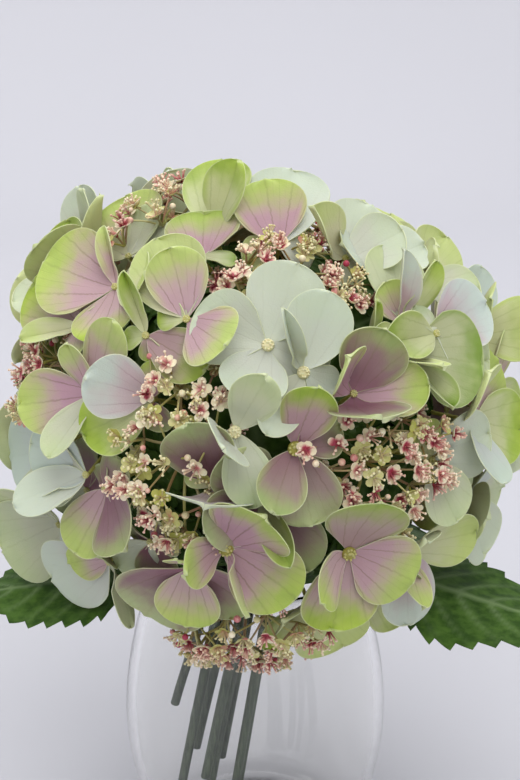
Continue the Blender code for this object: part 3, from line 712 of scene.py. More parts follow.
FLORETS = (
    # The crown, from its two pale frontal florets round to the top.
    Floret("crown", 2, 37, 108, 2, 30, (
        P(69, 2, M, 1.02, 0.98), P(158, -4, M, 0.92, 1.05), P(247, 20, M, 0.80), P(340, -12, M, 0.75),
    ), Eye.PALE),
    Floret("crown", 11, 30, 110, 14, 26, (
        P(68, 8, M, 0.98, 0.86), P(116, 45, M, 1.0, 0.4, 4, 60), P(232, 0, M, 0.85, 0.6),
        P(330, -25, M, 0.5),
    ), Eye.PALE),
    Floret("crown", 10, 65, 108, 2, 42, (
        P(100, 8, L, 0.88, 1.02), P(80, -14, M, 1.22, 0.9), P(190, -25, C, 0.45), P(350, -25, M, 0.45),
    )),
    Floret("crown", -26, 58, 113, -20, 68, (
        P(108, 6, R, 0.78, 1.2), P(180, -15, C, 0.45), P(20, -20, N, 0.4), P(255, -30, R, 0.4),
    )),
    Floret("crown", -36, 69, 111, -25, 50, (
        P(101, -6, G, 1.05, 0.88), P(64, 14, G, 0.92, 0.75, 8, 20), P(190, -20, C, 0.4),
        P(330, -30, G, 0.25),
    )),
    Floret("crown", 45, 59, 106, 30, 48, (
        P(45, 6, M, 0.9, 1.0), P(138, 40, C, 0.9, 0.7, 10, 35), P(5, 30, M, 0.8), P(265, -25, S, 0.4),
    )),
    Floret("crown", 49, 37, 108, 40, 34, (
        P(74, -4, S, 1.05, 0.9), P(46, 22, G, 0.9, 0.6, 8, 15, 30), P(102, 6, L, 0.56, 1.15),
        P(92, 28, W, 0.95, 0.45, 8, 45),
    )),
    Floret("crown", 62, 56, 106, 50, 50, (
        P(34, 6, C, 0.85), P(78, 8, S, 0.55), P(160, 35, M, 0.7), P(-12, 25, M, 0.75),
    )),
    Floret("right", 80, 43, 106, 60, 42, (
        P(72, 5, S, 0.85, 0.9), P(22, 12, C, 0.9), P(130, 30, C, 0.7), P(310, 30, S, 0.8),
    )),
    # The upper left, towards the back.
    Floret("top_left", -79, 53, 106, -50, 48, (
        P(134, 4, L, 1.05, 1.1), P(98, 10, S, 0.75, 0.8), P(60, -4, S, 0.7, 0.7),
        P(178, 15, C, 0.75, 0.6),
    )),
    Floret("top_left", -96, 43, 118, -64, 42, (
        P(88, 0, S, 0.9, 0.75), P(128, -2, M, 0.95, 0.85), P(160, 15, S, 0.65), P(10, 40, C, 0.6),
    )),
    Floret("left", -88, 36, 114, -65, 38, (
        P(158, 8, C, 0.95), P(128, -4, G, 0.95), P(60, 35, L, 0.8), P(240, 35, S, 0.8),
    )),
    # The left head, from its top to its low side.
    Floret("left", -59, 45, 110, -42, 40, (
        P(182, 8, L, 1.08, 1.1), P(122, 22, L, 0.8, 0.42, 5, 45), P(290, 10, L, 0.82, 1.15),
        P(10, 30, C, 0.95, 0.8),
    )),
    Floret("left", -63, 33, 112, -46, 30, (
        P(164, 0, H, 1.12, 1.0), P(100, -20, L, 0.4), P(216, 25, C, 0.8, 0.5, 5, 30), P(290, 10, L, 0.5),
    )),
    Floret("left", -48, 19, 110, -38, 18, (
        P(72, 8, H, 1.02, 0.72), P(118, 22, L, 0.68, 0.6), P(200, 12, L, 1.0, 0.85),
        P(258, 22, S, 0.9, 0.6, 8, 15),
    )),
    Floret("left", -46, 0, 110, -40, 4, (
        P(168, 4, B, 0.92, 0.95), P(188, -12, S, 1.15, 0.9), P(213, 10, B, 1.0, 0.45, 5, 0, 75),
        P(211, 14, M, 1.05, 0.6, 5, 0, 30),
    )),
    Floret("left", -70, -2, 108, -66, 4, (
        P(150, 10, S, 1.0), P(205, 15, B, 1.0), P(80, 30, C, 0.9), P(290, 30, S, 0.9),
    )),
    Floret("left", -75, -25, 114, -58, -16, (
        P(208, 42, S, 1.1, 1.1), P(174, 40, S, 1.12, 1.0), P(120, 20, S, 0.5), P(300, 25, B, 0.5),
    )),
    Floret("left", -97, -8, 110, -96, -8, (
        P(20, 30, S), P(110, 25, C), P(200, 28, S), P(290, 25, B),
    )),
    Floret("left", -108, 22, 110, -106, 22, (
        P(40, 30, C), P(130, 28, L), P(220, 30, C), P(310, 28, S),
    )),
    # The front left head round its green and cream cushion.
    Floret("front_left", -22, 41, 114, -16, 34, (
        P(110, 14, L, 0.86, 0.86), P(-30, 22, L, 0.74, 1.12), P(120, -6, C, 1.12, 0.85),
        P(168, -20, G, 0.4),
    )),
    Floret("front_left", -34, 36, 112, -14, 28, (
        P(-24, 16, R, 0.88, 0.78), P(112, 20, G, 0.8, 0.4, 5, 45), P(190, -25, G, 0.3),
        P(290, -25, R, 0.3),
    )),
    Floret("front_left", -29, 22, 106, -30, 16, (
        P(165, 45, W, 0.86, 0.95), P(214, 6, G, 1.0, 0.85), P(100, -10, L, 0.45), P(290, -30, D, 0.4),
    )),
    Floret("front_left", -43, -4, 104, -36, -4, (
        P(248, 16, L, 0.98, 0.8), P(112, -25, D, 0.3), P(314, 20, D, 0.85, 1.2), P(60, -10, D, 0.5),
    )),
    Floret("front_left", -30, -16, 104, -28, -12, (
        P(276, 14, D, 0.62, 1.0), P(236, 10, S, 0.82, 0.9), P(190, -25, D, 0.4), P(30, 10, D, 0.5),
    )),
    Floret("front_left", -6, 17, 111, -4, 10, (
        P(62, 34, S, 0.98, 0.62), P(-72, 10, S, 0.9, 0.66), P(258, -25, W, 0.4), P(220, 92, M, 0.8, 0.9),
    ), Eye.PALE),
    Floret("front_left", -11, 3, 103, -8, 6, (
        P(150, -20, C, 0.4), P(110, 24, D, 0.95, 0.95), P(264, 92, W, 0.92, 1.15, 0), P(338, -20, S, 0.4),
    )),
    # The low head, hanging over the vase's mouth.
    Floret("low_front", -8, -11, 112, -6, -4, (
        P(52, 28, H, 0.95, 1.15), P(186, 60, H, 0.74, 0.8), P(-35, 2, H, 1.02, 1.0),
        P(-66, 34, L, 0.85, 0.45, 5, 0, 78),
    ), Eye.GREEN),
    Floret("low_front", -18, -19, 110, -16, -18, (
        P(266, 16, L, 0.82, 1.05), P(234, -6, D, 1.22, 1.0), P(318, -8, D, 0.95, 0.9), P(90, 40, L, 0.5),
    )),
    Floret("low_front", -49, -28, 108, -46, -20, (
        P(203, 24, M, 1.06, 1.05), P(186, 26, L, 0.62, 0.9), P(284, 10, S, 0.95, 0.5, 5, 0, 60),
        P(60, 30, D, 0.5),
    )),
    Floret("low_front", 16, -38, 106, 20, -30, (
        P(-55, 10, C, 1.0), P(222, 12, G, 0.8, 0.8), P(150, 30, D, 0.7), P(40, 30, C, 0.7),
    )),
    Floret("low_front", 36, -34, 106, 30, -26, (
        P(245, 6, M, 1.0, 0.6), P(-40, 14, C, 0.9), P(60, 30, D, 0.7), P(160, 30, D, 0.6),
    )),
    # The front right head round its pink cushion.
    Floret("front_right", 21, -14, 112, 17, -8, (
        P(76, 20, R, 0.95, 1.1), P(-26, 14, H, 0.9, 1.1), P(262, 2, H, 1.06, 1.0),
        P(205, 50, L, 0.85, 0.8),
    ), Eye.GREEN),
    Floret("front_right", 8, 13, 109, 4, 10, (
        P(74, 28, R, 0.92, 0.75), P(244, 24, D, 0.88, 0.72), P(282, -6, D, 0.95, 0.9), P(25, -20, D, 0.6),
    ), Eye.GREEN),
    Floret("front_right", 24, 24, 108, 22, 30, (
        P(135, 66, H, 0.95, 0.72), P(58, 32, D, 0.86, 1.0), P(-4, 24, H, 0.9, 0.78),
        P(264, 66, D, 0.9, 1.1),
    )),
    Floret("front_right", 44, 31, 110, 40, 26, (
        P(-24, 10, N, 1.05, 1.15), P(-82, 24, N, 0.9, 0.5, 8, 30), P(-110, 45, C, 0.75, 0.7),
        P(150, -15, C, 0.5),
    )),
    Floret("right", 54, 32, 115, 50, 30, (
        P(8, 14, W, 1.0, 0.9), P(172, -26, G, 0.92, 0.75, 8, 35), P(-32, -8, S, 1.05, 0.9),
        P(100, -20, S, 0.4),
    )),
    Floret("front_right", 47, 3, 106, 42, 4, (
        P(6, 4, M, 0.98, 0.95), P(286, 12, S, 0.88, 0.85), P(-36, 2, S, 0.9), P(110, 5, G, 0.55),
    )),
    Floret("front_right", 45, -22, 108, 34, -14, (
        P(4, 6, C, 0.95, 0.95), P(264, 14, W, 1.0, 0.95), P(246, 58, L, 0.8, 0.6), P(110, 40, S, 0.6),
    )),
    Floret("front_right", 0, -1, 101, 6, 0, (
        P(-58, 2, D, 1.08, 0.8), P(-66, 32, G, 0.9, 0.55, 8, 40), P(120, 30, D, 0.8), P(200, 30, D, 0.8),
    )),
    # The right head.
    Floret("right", 64, 8, 112, 56, 12, (
        P(34, 8, L, 1.0), P(-25, 10, G, 0.98), P(112, 28, C, 0.9), P(250, 24, B, 0.9),
    )),
    Floret("right", 88, 23, 114, 52, 24, (
        P(62, 6, B, 0.9, 0.8), P(136, 14, L, 0.9), P(218, 18, C, 0.95), P(335, 22, G, 0.95),
    )),
    Floret("right", 85, 6, 114, 72, 10, (
        P(150, 20, S, 0.95), P(60, 12, L, 0.95), P(-40, 14, G, 0.98), P(235, 22, C, 0.9),
    )),
    Floret("right", 73, -17, 112, 60, -10, (
        P(68, 22, B, 0.98, 0.8), P(-8, 4, S, 1.0), P(-70, 12, M, 0.95), P(165, 30, S, 0.8),
    )),
    Floret("right", 100, -14, 110, 98, -12, (
        P(40, 26, S), P(130, 28, B), P(220, 28, S), P(310, 24, C),
    )),
    Floret("right", 118, 12, 110, 116, 12, (
        P(20, 28, L), P(110, 28, C), P(200, 26, L), P(290, 28, C),
    )),
    # One stray bract, folded and bright, that stands between the crown and the front right head.
    Floret("crown", 36, 35, 100, 30, 20, (
        P(84, 28, G, 0.62, 0.45, 25, 45, 20), P(250, -30, G, 0.3), P(160, -30, G, 0.3), P(0, -30, G, 0.3),
    )),
    # Two that lie deep in the bunch, between its heads; their dark dyes are partly painted shade.
    Floret("left", -74, -19, 94, -34, -4, (
        P(100, 2, D, 0.8), P(190, 2, S, 0.8), P(275, 2, N, 0.85), P(10, 2, D, 0.8),
    )),
    Floret("right", 84, 4, 92, 48, 6, (
        P(85, 2, N, 0.7), P(175, 2, D, 0.7), P(265, 2, S, 0.7), P(-5, 2, H, 0.8),
    )),
    # The top of the bunch, behind the crown.
    Floret("rear_top", 152, 84, 98, 165, 80, (
        P(15, 2, L, 0.95), P(108, 4, C, 0.9), P(198, 2, S, 0.95), P(284, 4, L, 0.9),
    )),
    Floret("rear_top", -172, 68, 99, -175, 70, (
        P(40, 3, C, 0.95), P(128, 5, L, 0.95), P(222, 3, G, 0.9), P(312, 5, S, 0.95),
    )),
)


@dataclass
class Petal:
    """One heat-set petal: an obovate blade that lifts from the heart, cups, curls and frills.

    Lengths are in metres and angles in degrees. Cup is a share of the half width, and frill is how high the
    rim waves.
    """

    length: float
    width: float
    rise: float
    cup: float
    curl: float
    fold: float
    twist: float
    frill: float
    phase: float
    thickness: float = 0.45 * MM

    def blade(self, rows: int, columns: int) -> tuple[np.ndarray, np.ndarray]:
        """Shape the blade's middle surface, with the heart at the origin and the tip along +X.

        Args:
            rows: Points along it.
            columns: Points across it.

        Returns:
            The grid of points, and for each its place: along, side, distance from the rim, and fan bearing.
        """
        u = (1 - np.cos(np.linspace(0, math.pi, rows))) / 2
        v = np.sin(np.linspace(-1, 1, columns) * math.pi / 2)
        along, across = np.meshgrid(u, v, indexing="ij")
        half = self.width / 2 * np.sin(math.pi * np.clip(u, 0, 1) ** 1.42) ** 0.45
        half = np.maximum(np.minimum(half, 1.25 * u * self.length + 0.9 * MM), 0.25 * MM)
        half = half[:, None] * np.ones_like(along)
        lifted = np.clip(along / 0.30, 0, 1)
        bend = np.radians(self.rise) * lifted**2 * (3 - 2 * lifted) + np.radians(self.curl) * along**2
        step = np.diff(self.length * u, prepend=0.0)[:, None]
        x = np.cumsum(np.cos(bend) * step, axis=0)
        z = np.cumsum(np.sin(bend) * step, axis=0)
        rim = np.maximum(np.abs(across) ** 2, np.clip((along - 0.55) / 0.45, 0, 1) ** 2)
        bearing = np.arctan2(across, along - 0.45)
        out = np.clip(along * 3, 0, 1)
        lift = self.cup * half * across**2 - 0.07 * half * np.exp(-((across / 0.12) ** 2)) * (1 - along)
        lift += self.frill * rim**1.5 * np.sin(3 * bearing + self.phase) * out
        lift += self.frill * 0.25 * rim**2 * np.sin(7 * bearing + self.phase * 2.3) * out
        closed = np.radians(self.fold) * out
        lift += np.abs(across) * half * np.sin(closed)
        y = across * half * np.cos(closed)
        roll = np.radians(self.twist) * np.clip(along / 0.35, 0, 1)
        y, lift = y * np.cos(roll) - lift * np.sin(roll), y * np.sin(roll) + lift * np.cos(roll)
        grid = np.stack([x - np.sin(bend) * lift, y, z + np.cos(bend) * lift], axis=2)
        edge = np.minimum((1 - np.abs(across)) * half, (1 - along) * self.length * 0.6) / (4 * MM)
        fan = across * half / (along * self.length + 0.22 * self.length)
        place = np.stack([along, np.zeros_like(along), np.clip(edge, 0, 1), fan], axis=2)
        return grid, place

    def shell(self, rows: int = 21, columns: int = 15) -> tuple[np.ndarray, np.ndarray, Faces]:
        """Give the blade its thickness.

        Args:
            rows: Points along it.
            columns: Points across it.

        Returns:
            The closed form's points, each point's place values, and the faces.
        """
        grid, place = self.blade(rows, columns)
        upper = place.reshape(-1, 4)
        lower = upper + np.array((0, 1, 0, 0))
        values = np.concatenate([upper, lower])
        return both_sides(grid, self.thickness), values, sheet_faces(rows, columns)


@dataclass
class PlacedPetal:
    """A petal with the matrix that carries it to its floret."""

    petal: Petal
    place: Matrix
    dye: Dye

    def tree(self) -> BVHTree:
        """Build the coarse surface that other petals are tested against.

        Returns:
            The surface, from just outside the heart, where all petals meet.
        """
        rows, columns, heart = 9, 7, 3
        grid, _ = self.petal.blade(rows, columns)
        points = moved(grid[heart:].reshape(-1, 3), self.place)
        corners = [i * columns + j for i in range(rows - heart - 1) for j in range(columns - 1)]
        faces = [(a, a + columns, a + columns + 1, a + 1) for a in corners]
        return BVHTree.FromPolygons(points.tolist(), faces)


@dataclass
class FloretMaker:
    """Places petals one after another, and eases each one up or down to clear those already placed."""

    length: float = 37 * MM
    extra_rises: tuple[float, ...] = (0, 5, -5, 10, -10, 16, -16, 24, 32)
    slack_rises: tuple[float, ...] = (0, 5, -5, 10, -10, 16, -16, 24, -24, 32, 40, 48)
    stiffness: float = 0.35  # crossings of small faces that are worth one degree of a petal's wanted rise
    slack: float = 0.05  # the same for florets at the sides and back, whose petals give way further
    front: float = 0.3  # how far forward a heart must stand, as a share of its reach, to be a front floret
    neighbourhood: float = 45 * MM  # petals whose middles are further apart than this can't touch
    base: tuple[float, float] = (0.8 * MM, 0.3 * MM)  # out from the heart, and up for each second petal
    seed: int = 11
    placed: Obstacles = field(default_factory=list)

    def place(self, floret: Floret, number: int) -> list[PlacedPetal]:
        """Place a floret's petals.

        Args:
            floret: The floret.
            number: Its number, which seeds its small differences.

        Returns:
            Its placed petals.
        """
        rng = np.random.default_rng(self.seed + number)
        heart = DOME_CENTRE + direction(floret.azimuth, floret.height) * floret.reach * MM
        frame = turned_to(direction(floret.face_azimuth, floret.face_height), heart)
        in_front = -direction(floret.azimuth, floret.height).y > self.front
        settled = []
        for k, wanted in enumerate(floret.petals):
            base = frame @ Matrix.Rotation(math.radians(wanted.bearing), 4, "Z")
            base = base @ Matrix.Translation((self.base[0], 0, self.base[1] * (k % 2)))
            settled.append(self._settle(wanted, base, in_front, rng))
        return settled

    def _settle(self, wanted: P, place: Matrix, in_front: bool, rng: np.random.Generator) -> PlacedPetal:
        """Find the rise at which a petal meets few others without leaving the wanted rise by much.

        Args:
            wanted: The petal's place in its floret.
            place: Where its base stands.
            in_front: Whether it belongs to a front floret.
            rng: The source of its small differences.

        Returns:
            The placed petal.
        """
        size = self.length * wanted.size
        width = size * wanted.wide * rng.uniform(0.96, 1.04)
        cup, frill, phase = rng.uniform(0.04, 0.22), rng.uniform(0.8, 1.7) * MM, rng.uniform(0, 6.28)
        best, fewest, kept = None, math.inf, None
        rises = self.extra_rises if in_front else self.slack_rises
        stiffness = self.stiffness if in_front else self.slack
        for extra in rises:
            rise = wanted.rise + extra
            petal = Petal(size, width, rise, cup, wanted.curl, wanted.fold, wanted.twist, frill, phase)
            trial = PlacedPetal(petal, place, wanted.dye)
            tree = trial.tree()
            middle = place @ Vector((size / 2, 0, size / 2 * math.sin(math.radians(rise))))
            near = [other for at, other in self.placed if (at - middle).length < self.neighbourhood]
            hits = sum(len(tree.overlap(other)) for other in near)
            cost = hits + abs(extra) * stiffness
            if cost < fewest:
                best, fewest, kept = trial, cost, (middle, tree)
        self.placed.append(kept)
        return best


def front_first(florets: list[Floret]) -> list[int]:
    """List the florets' numbers, the foremost heart first, so that the petals in front keep their poses."""
    forward = [floret.reach * direction(floret.azimuth, floret.height).y for floret in florets]
    return sorted(range(len(florets)), key=lambda i: forward[i])


# ---------------------------------------------------------------- heads


class HeadPlace(NamedTuple):
    """Where a head points, how high its cut stem ends, and its cushion.

    Angles are in degrees and lengths in mm. The cushion has a middle, a spread to each side, a drop that
    moves it outwards, a number of clusters, how pink its flowers are and the share of olive ones.
    """

    azimuth: float
    height: float
    cut: float
    middle: tuple[float, float]
    spread: tuple[float, float]
    drop: float = 0
    clusters: int = 5
    rose: float = 0.45
    olive: float = 0.30


HEADS = {
    "crown": HeadPlace(17, 58, 30, (17, 57), (21, 14), 3, 11, 0.62, 0.36),
    "top_left": HeadPlace(-112, 64, 52, (-104, 62), (17, 16), 11, 7, 0.60, 0.45),
    "left": HeadPlace(-88, 16, 78, (-84, 17), (20, 19), 10, 9, 0.55, 0.40),
    "front_left": HeadPlace(-21, 15, 34, (-21, 9), (15, 25), 4, 11, 0.44, 0.48),
    "front_right": HeadPlace(29, 5, 22, (30, 5), (23, 15), 5, 11, 0.50, 0.26),
    "low_front": HeadPlace(-6, -46, 46, (-6, -48), (19, 19), 13, 10, 0.60, 0.28),
    "right": HeadPlace(97, 8, 26, (97, 8), (13, 13)),
    "rear_top": HeadPlace(165, 46, 40, (165, 46), (15, 15), 0, 6),
    "rear_left": HeadPlace(-150, 2, 60, (-150, 2), (15, 15), 0, 6),
    "rear_right": HeadPlace(150, -6, 36, (150, -6), (15, 15), 0, 6),
}
# The stems stand in the vase's mouth as a core of three with a ring of seven round it.
CORE_HEADS = ("crown", "rear_top", "top_left")
RING_HEADS = ("rear_left", "left", "front_left", "low_front", "front_right", "right", "rear_right")
# For each rear head: its florets, how far out they stand, the first one's bearing and the step to the next.
REAR_WREATHES = {
    "top_left": (3, 25, 150, 45),
    "rear_top": (6, 24, 70, 44),
    "rear_left": (6, 27, 22, 60),
    "rear_right": (6, 29, 50, 60),
}


@dataclass
class Wreaths:
    """The florets of the heads at the back, evenly spaced round each head's middle. Reaches are in mm."""

    reach: float = 110
    top_reach: float = 94
    lean: float = 8
    unevenness: tuple[float, ...] = (3, -4, 0, -6, 2, -2)
    rises: tuple[float, ...] = (26, 34, 22, 30)

    def florets(self) -> list[Floret]:
        """Space the rear florets.

        Returns:
            The florets.
        """
        made = []
        kinds = ((L, C, L, S), (G, S, G, C), (B, S, M, B), (L, L, D, C), (M, W, M, S), (C, G, C, L))
        for head, (count, spread, start, step) in REAR_WREATHES.items():
            axis = direction(HEADS[head].azimuth, HEADS[head].height)
            middle = turned_to(axis, Vector())
            for i in range(count):
                bearing = math.radians(start + i * step)
                out = math.radians(spread + self.lean * (i % 2))
                across = middle @ Vector((math.sin(bearing), math.cos(bearing), 0))
                at = axis * math.cos(out) + across * math.sin(out)
                azimuth, height = math.degrees(math.atan2(at.x, -at.y)), math.degrees(math.asin(at.z))
                reach = (self.top_reach if head == "rear_top" else self.reach) + self.unevenness[i]
                petals = tuple(P(90 * k + 37 * i, self.rises[k], kinds[i][k]) for k in range(4))
                made.append(Floret(head, azimuth, height, reach, azimuth, height, petals))
        return made


@dataclass
class TinyFlower:
    """A moulded fertile flower: round petals, knobbed stamens and a green middle. Sizes in mm."""

    petal: float = 4.7
    stamen: float = 5.8
    rod: float = 0.38

    def disc(self) -> tuple[np.ndarray, Faces, np.ndarray]:
        """Shape one round, spooned petal along +X, with how far out each point lies.

        Returns:
            Points in metres, faces, and the outward share of each point.
        """
        rings, sides = 3, 10
        top, low = [(0.0, 0.0, 0.25)], [(0.0, 0.0, -0.15)]
        for k in range(1, rings + 1):
            share = k / rings
            for j in range(sides):
                turn = 2 * math.pi * j / sides
                x = math.cos(turn) * share
                y = math.sin(turn) * share * (0.80 + 0.2 * math.cos(turn))
                z = 0.55 * share**2
                top.append((x, y, z + 0.25 * (1 - share)))
                low.append((x, y, z - 0.22 * (1 - share) - 0.16))
        size = len(top)
        faces: Faces = []
        for j in range(sides):
            faces.append((0, 1 + j, 1 + (j + 1) % sides))
            faces.append((size, size + 1 + (j + 1) % sides, size + 1 + j))
            for k in range(rings - 1):
                a, b = 1 + k * sides + j, 1 + k * sides + (j + 1) % sides
                faces.append((a, a + sides, b + sides, b))
                faces.append((size + a, size + b, size + b + sides, size + a + sides))
            a, b = 1 + (rings - 1) * sides + j, 1 + (rings - 1) * sides + (j + 1) % sides
            faces.append((a, size + a, size + b, b))
        points = np.array(top + low)
        points[:, 2] *= 0.5
        outward = (points[:, 0] + 1) / 2
        points[:, 0] = (points[:, 0] + 1.08) * self.petal / 2 * MM
        points[:, 1] *= self.petal / 2 * MM
        points[:, 2] *= self.petal / 2 * MM
        return points, faces, outward

    def stamen_rod(self, length: float, bow: float) -> tuple[np.ndarray, Faces, np.ndarray]:
        """Shape a stamen that stands along +Z, bows towards +X and ends in a knob.

        Args:
            length: Its length in mm.
            bow: How far its tip leans, in mm.

        Returns:
            Points in metres, faces, and the share of the height of each point.
        """
        at = np.array([0, 0.35, 0.7, 0.86, 0.93, 1.0])
        route = np.stack([bow * at**2, np.zeros(6), length * at], axis=1) * MM
        radii = np.array([1.0, 0.85, 0.8, 1.0, 1.9, 1.1]) * self.rod * MM
        points, faces = tube(route, radii, 6)
        return points, faces, points[:, 2] / (length * MM)

    def put(self, soup: Soup, place: Matrix, rng: np.random.Generator, rose: float, olive: float) -> None:
        """Add one flower to a head's cushion.

        Args:
            soup: Where the forms are gathered.
            place: The flower's placement, with +Z out of its face.
            rng: The source of its small differences.
            rose: How pink its head's flowers are.
            olive: The share of them that are yellow-green.
        """
        green = rng.random() < olive
        flower_olive = rng.uniform(0.55, 0.95) if green else rng.uniform(0.0, 0.18)
        pinker = rng.uniform(0.2, 0.9) if green else rng.uniform(0.7, 2.2)
        flower_rose = np.clip(rose * pinker, 0, 0.95)
        open_angle = rng.uniform(-8, 30)
        count = 5 if rng.random() < 0.78 else int(rng.integers(0, 4))
        for k in range(count):
            points, faces, outward = self.disc()
            turn = Matrix.Rotation(2 * math.pi * k / 5 + rng.uniform(-0.12, 0.12), 4, "Z")
            lift = Matrix.Rotation(-math.radians(open_angle + rng.uniform(-10, 10)), 4, "Y")
            accent = rng.uniform(0.35, 0.8) if rng.random() < 0.30 * rose else 0.0
            blush = np.clip(flower_rose * (1.45 - 2.0 * outward) + accent * outward, 0, 1)
            tint = np.stack([blush, flower_olive * np.ones_like(blush), 0 * blush, 1 + 0 * blush], axis=1)
            soup.put(moved(points * rng.uniform(0.88, 1.10), place @ turn @ lift), faces, tint=tint)
        for k in range(int(rng.integers(8, 12))):
            length = self.stamen * rng.uniform(0.8, 1.15)
            points, faces, high = self.stamen_rod(length, rng.uniform(0.2, 1.6))
            turn = Matrix.Rotation(rng.uniform(0, 6.28), 4, "Z")
            lean = Matrix.Rotation(math.radians(rng.uniform(3, 46)), 4, "Y")
            base = Matrix.Translation((0.5 * MM, 0, 0))
            blush = np.clip(0.15 + flower_rose * (0.9 - 0.6 * high), 0, 0.9)
            olives = 0.6 * flower_olive + 0 * blush
            # the third value browns the rod towards its foot: partly its own brown, partly painted shade at
            # the flower's middle
            tint = np.stack([blush, olives, 0.45 * (1 - high), 1 + 0 * blush], axis=1)
            soup.put(moved(points, place @ turn @ base @ lean), faces, tint=tint)
        ovary = [(0, 0.9), (0.55, 0.75), (0.95, 0.2), (0.8, -0.5), (0.3, -1.2), (0, -1.3)]
        points, faces = turned(ovary, 8)
        middle = (min(0.9, flower_rose * 1.2), 0.75, 0.15, 1)
        soup.put(moved(points * MM, place), faces, tint=np.array(middle))


@dataclass
class Head:
    """One lacecap head: its stem, its florets' stalks, eyes and petals, and its cushion of tiny flowers.

    Reaches and pull-backs are in mm from the dome's middle, and the other lengths are in metres.
    """

    name: str
    place: HeadPlace
    cloth: Material
    plastic: Material
    coat: Material
    hub_reach: float = 90
    fork_reach: float = 101
    tip_reach: float = 112
    stem_radius: float = 2.5 * MM
    stem_top: float = 52 * MM
    boss: tuple[float, float] = (52.3 * MM, 60 * MM)
    pull_backs: tuple[float, ...] = (0, 4, 8, 12)
    flower_room: float = 5.0 * MM
    ray_points: int = 8
    core: tuple[float, float] = (17, 5.2)  # the core's first stem in the mouth: its bearing, and mm out
    ring: tuple[float, float] = (-154, 15.5)  # the same for the ring's first stem
    neck_height: float = 0.186
    foot_shift: tuple[float, float] = (-0.027, 0.004)  # how far the bundle leans at its foot
    foot_spread: float = 1.15

    @property
    def axis(self) -> Vector:
        """The way the head's middle points."""
        return direction(self.place.azimuth, self.place.height)

    def build(
        self, florets: list[Floret], petals: list[list[PlacedPetal]], around: Obstacles
    ) -> list[Object]:
        """Build the head's pieces.

        Args:
            florets: Its florets.
            petals: Each floret's placed petals.
            around: The middle and surface of every petal of the bunch.

        Returns:
            The pieces.
        """
        rng = np.random.default_rng(sum(map(ord, self.name)))
        blades = self._petals(petals, rng)
        stalks = self._stalks(florets, rng)
        cushion = self._cushion(around, rng)
        stem = self._stem()
        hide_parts(f"spray_{self.name}")
        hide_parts(f"umbel_{self.name}")
        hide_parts(f"stem_{self.name}")
        for piece, slot in ((blades, "petal"), (stalks, "stem"), (cushion, "umbel"), (stem, "stem")):
            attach(piece, BODY)
        return [blades, stalks, cushion, stem]

    def _petals(self, petals: list[list[PlacedPetal]], rng: np.random.Generator) -> Object:
        """Gather the head's petals into one piece.

        Args:
            petals: Each floret's placed petals.
            rng: The source of small differences in dye.

        Returns:
            The piece.
        """
        soup = Soup()
        for placed in (p for four in petals for p in four):
            points, values, faces = placed.petal.shell()
            strengths = np.array(placed.dye.value)
            shift = rng.normal(0, 0.07, 4)
            dye = np.clip(strengths + shift * (0.3 + strengths), 0, 1)
            soup.put(moved(points, placed.place), faces, place=values, dye=dye)
        return soup.to_object(f"petals_{self.name}", self.cloth)

    def _stalks(self, florets: list[Floret], rng: np.random.Generator) -> Object:
        """Build the boss, and each floret's stalk and the button in its heart.

        Args:
            florets: The head's florets.
            rng: The source of small differences.

        Returns:
            The piece.
        """
        soup = Soup()
        low, high = self.boss
        middle = DOME_CENTRE + self.axis * (low + high) / 2
        shape = [(0, 3.9), (3.0, 3.7), (4.2, 2.4), (4.0, 0), (3.2, -2.4), (2.6, -3.9), (0, -3.9)]
        points, faces = turned([(r * MM, z * MM) for r, z in shape], 16)
        # the tints' third value browns the boss and the stalks: partly their own colour, partly painted
        # shade under the petals
        soup.put(moved(points, turned_to(self.axis, middle)), faces, tint=np.array((0.05, 0.9, 0.45, 1)))
        for floret in florets:
            heart = DOME_CENTRE + direction(floret.azimuth, floret.height) * floret.reach * MM
            facing = direction(floret.face_azimuth, floret.face_height)
            across = heart - middle
            across -= self.axis * across.dot(self.axis)
            start = middle + across.normalized() * 2.3 * MM
            bow = start.lerp(heart, 0.55) + across.normalized() * 3 * MM
            route = smooth_route([start, bow, heart - facing * 1.0 * MM], 12)
            radii = np.linspace(1.05, 0.95, 12) * MM
            points, faces = tube(np.array([tuple(p) for p in route]), radii, 8)
            soup.put(points, faces, tint=np.array((0.10, 0.95, 0.40, 1)))
            self._eye(soup, heart, facing, floret, rng)
        return soup.to_object(f"stalks_{self.name}", self.plastic)

    def _eye(
        self, soup: Soup, heart: Vector, facing: Vector, floret: Floret, rng: np.random.Generator
    ) -> None:
        """Add the button in a floret's heart: a low dome with a ring of dots.

        Args:
            soup: Where the forms are gathered.
            heart: The floret's heart.
            facing: Where it faces.
            floret: The floret.
            rng: The source of small differences.
        """
        radius, *tint = floret.eye.value
        button = np.array((*tint, 1.0))
        scale = radius / 2 * MM
        shape = [(0, 1.3), (0.9, 1.2), (1.7, 0.75), (2.0, 0.1), (1.7, -0.6), (0, -0.9)]
        points, faces = turned([(r * scale, z * scale) for r, z in shape], 18)
        place = turned_to(facing, heart + facing * 0.8 * MM)
        soup.put(moved(points, place), faces, tint=button)
        bead = [(0, 0.4), (0.32, 0.25), (0.4, 0), (0.32, -0.25), (0, -0.4)]
        dot, dot_faces = turned([(r * scale, z * scale) for r, z in bead], 6)
        for k in range(13):
            turn = Matrix.Rotation(math.radians(360 / 9 * k) + rng.uniform(-0.12, 0.12), 4, "Z")
            at = Matrix.Translation((scale * (1.5 if k < 9 else 0.7), 0, scale * (0.95 if k < 9 else 1.35)))
            soup.put(moved(dot, place @ turn @ at), dot_faces, tint=button * np.array((1, 0.75, 0.5, 1)))

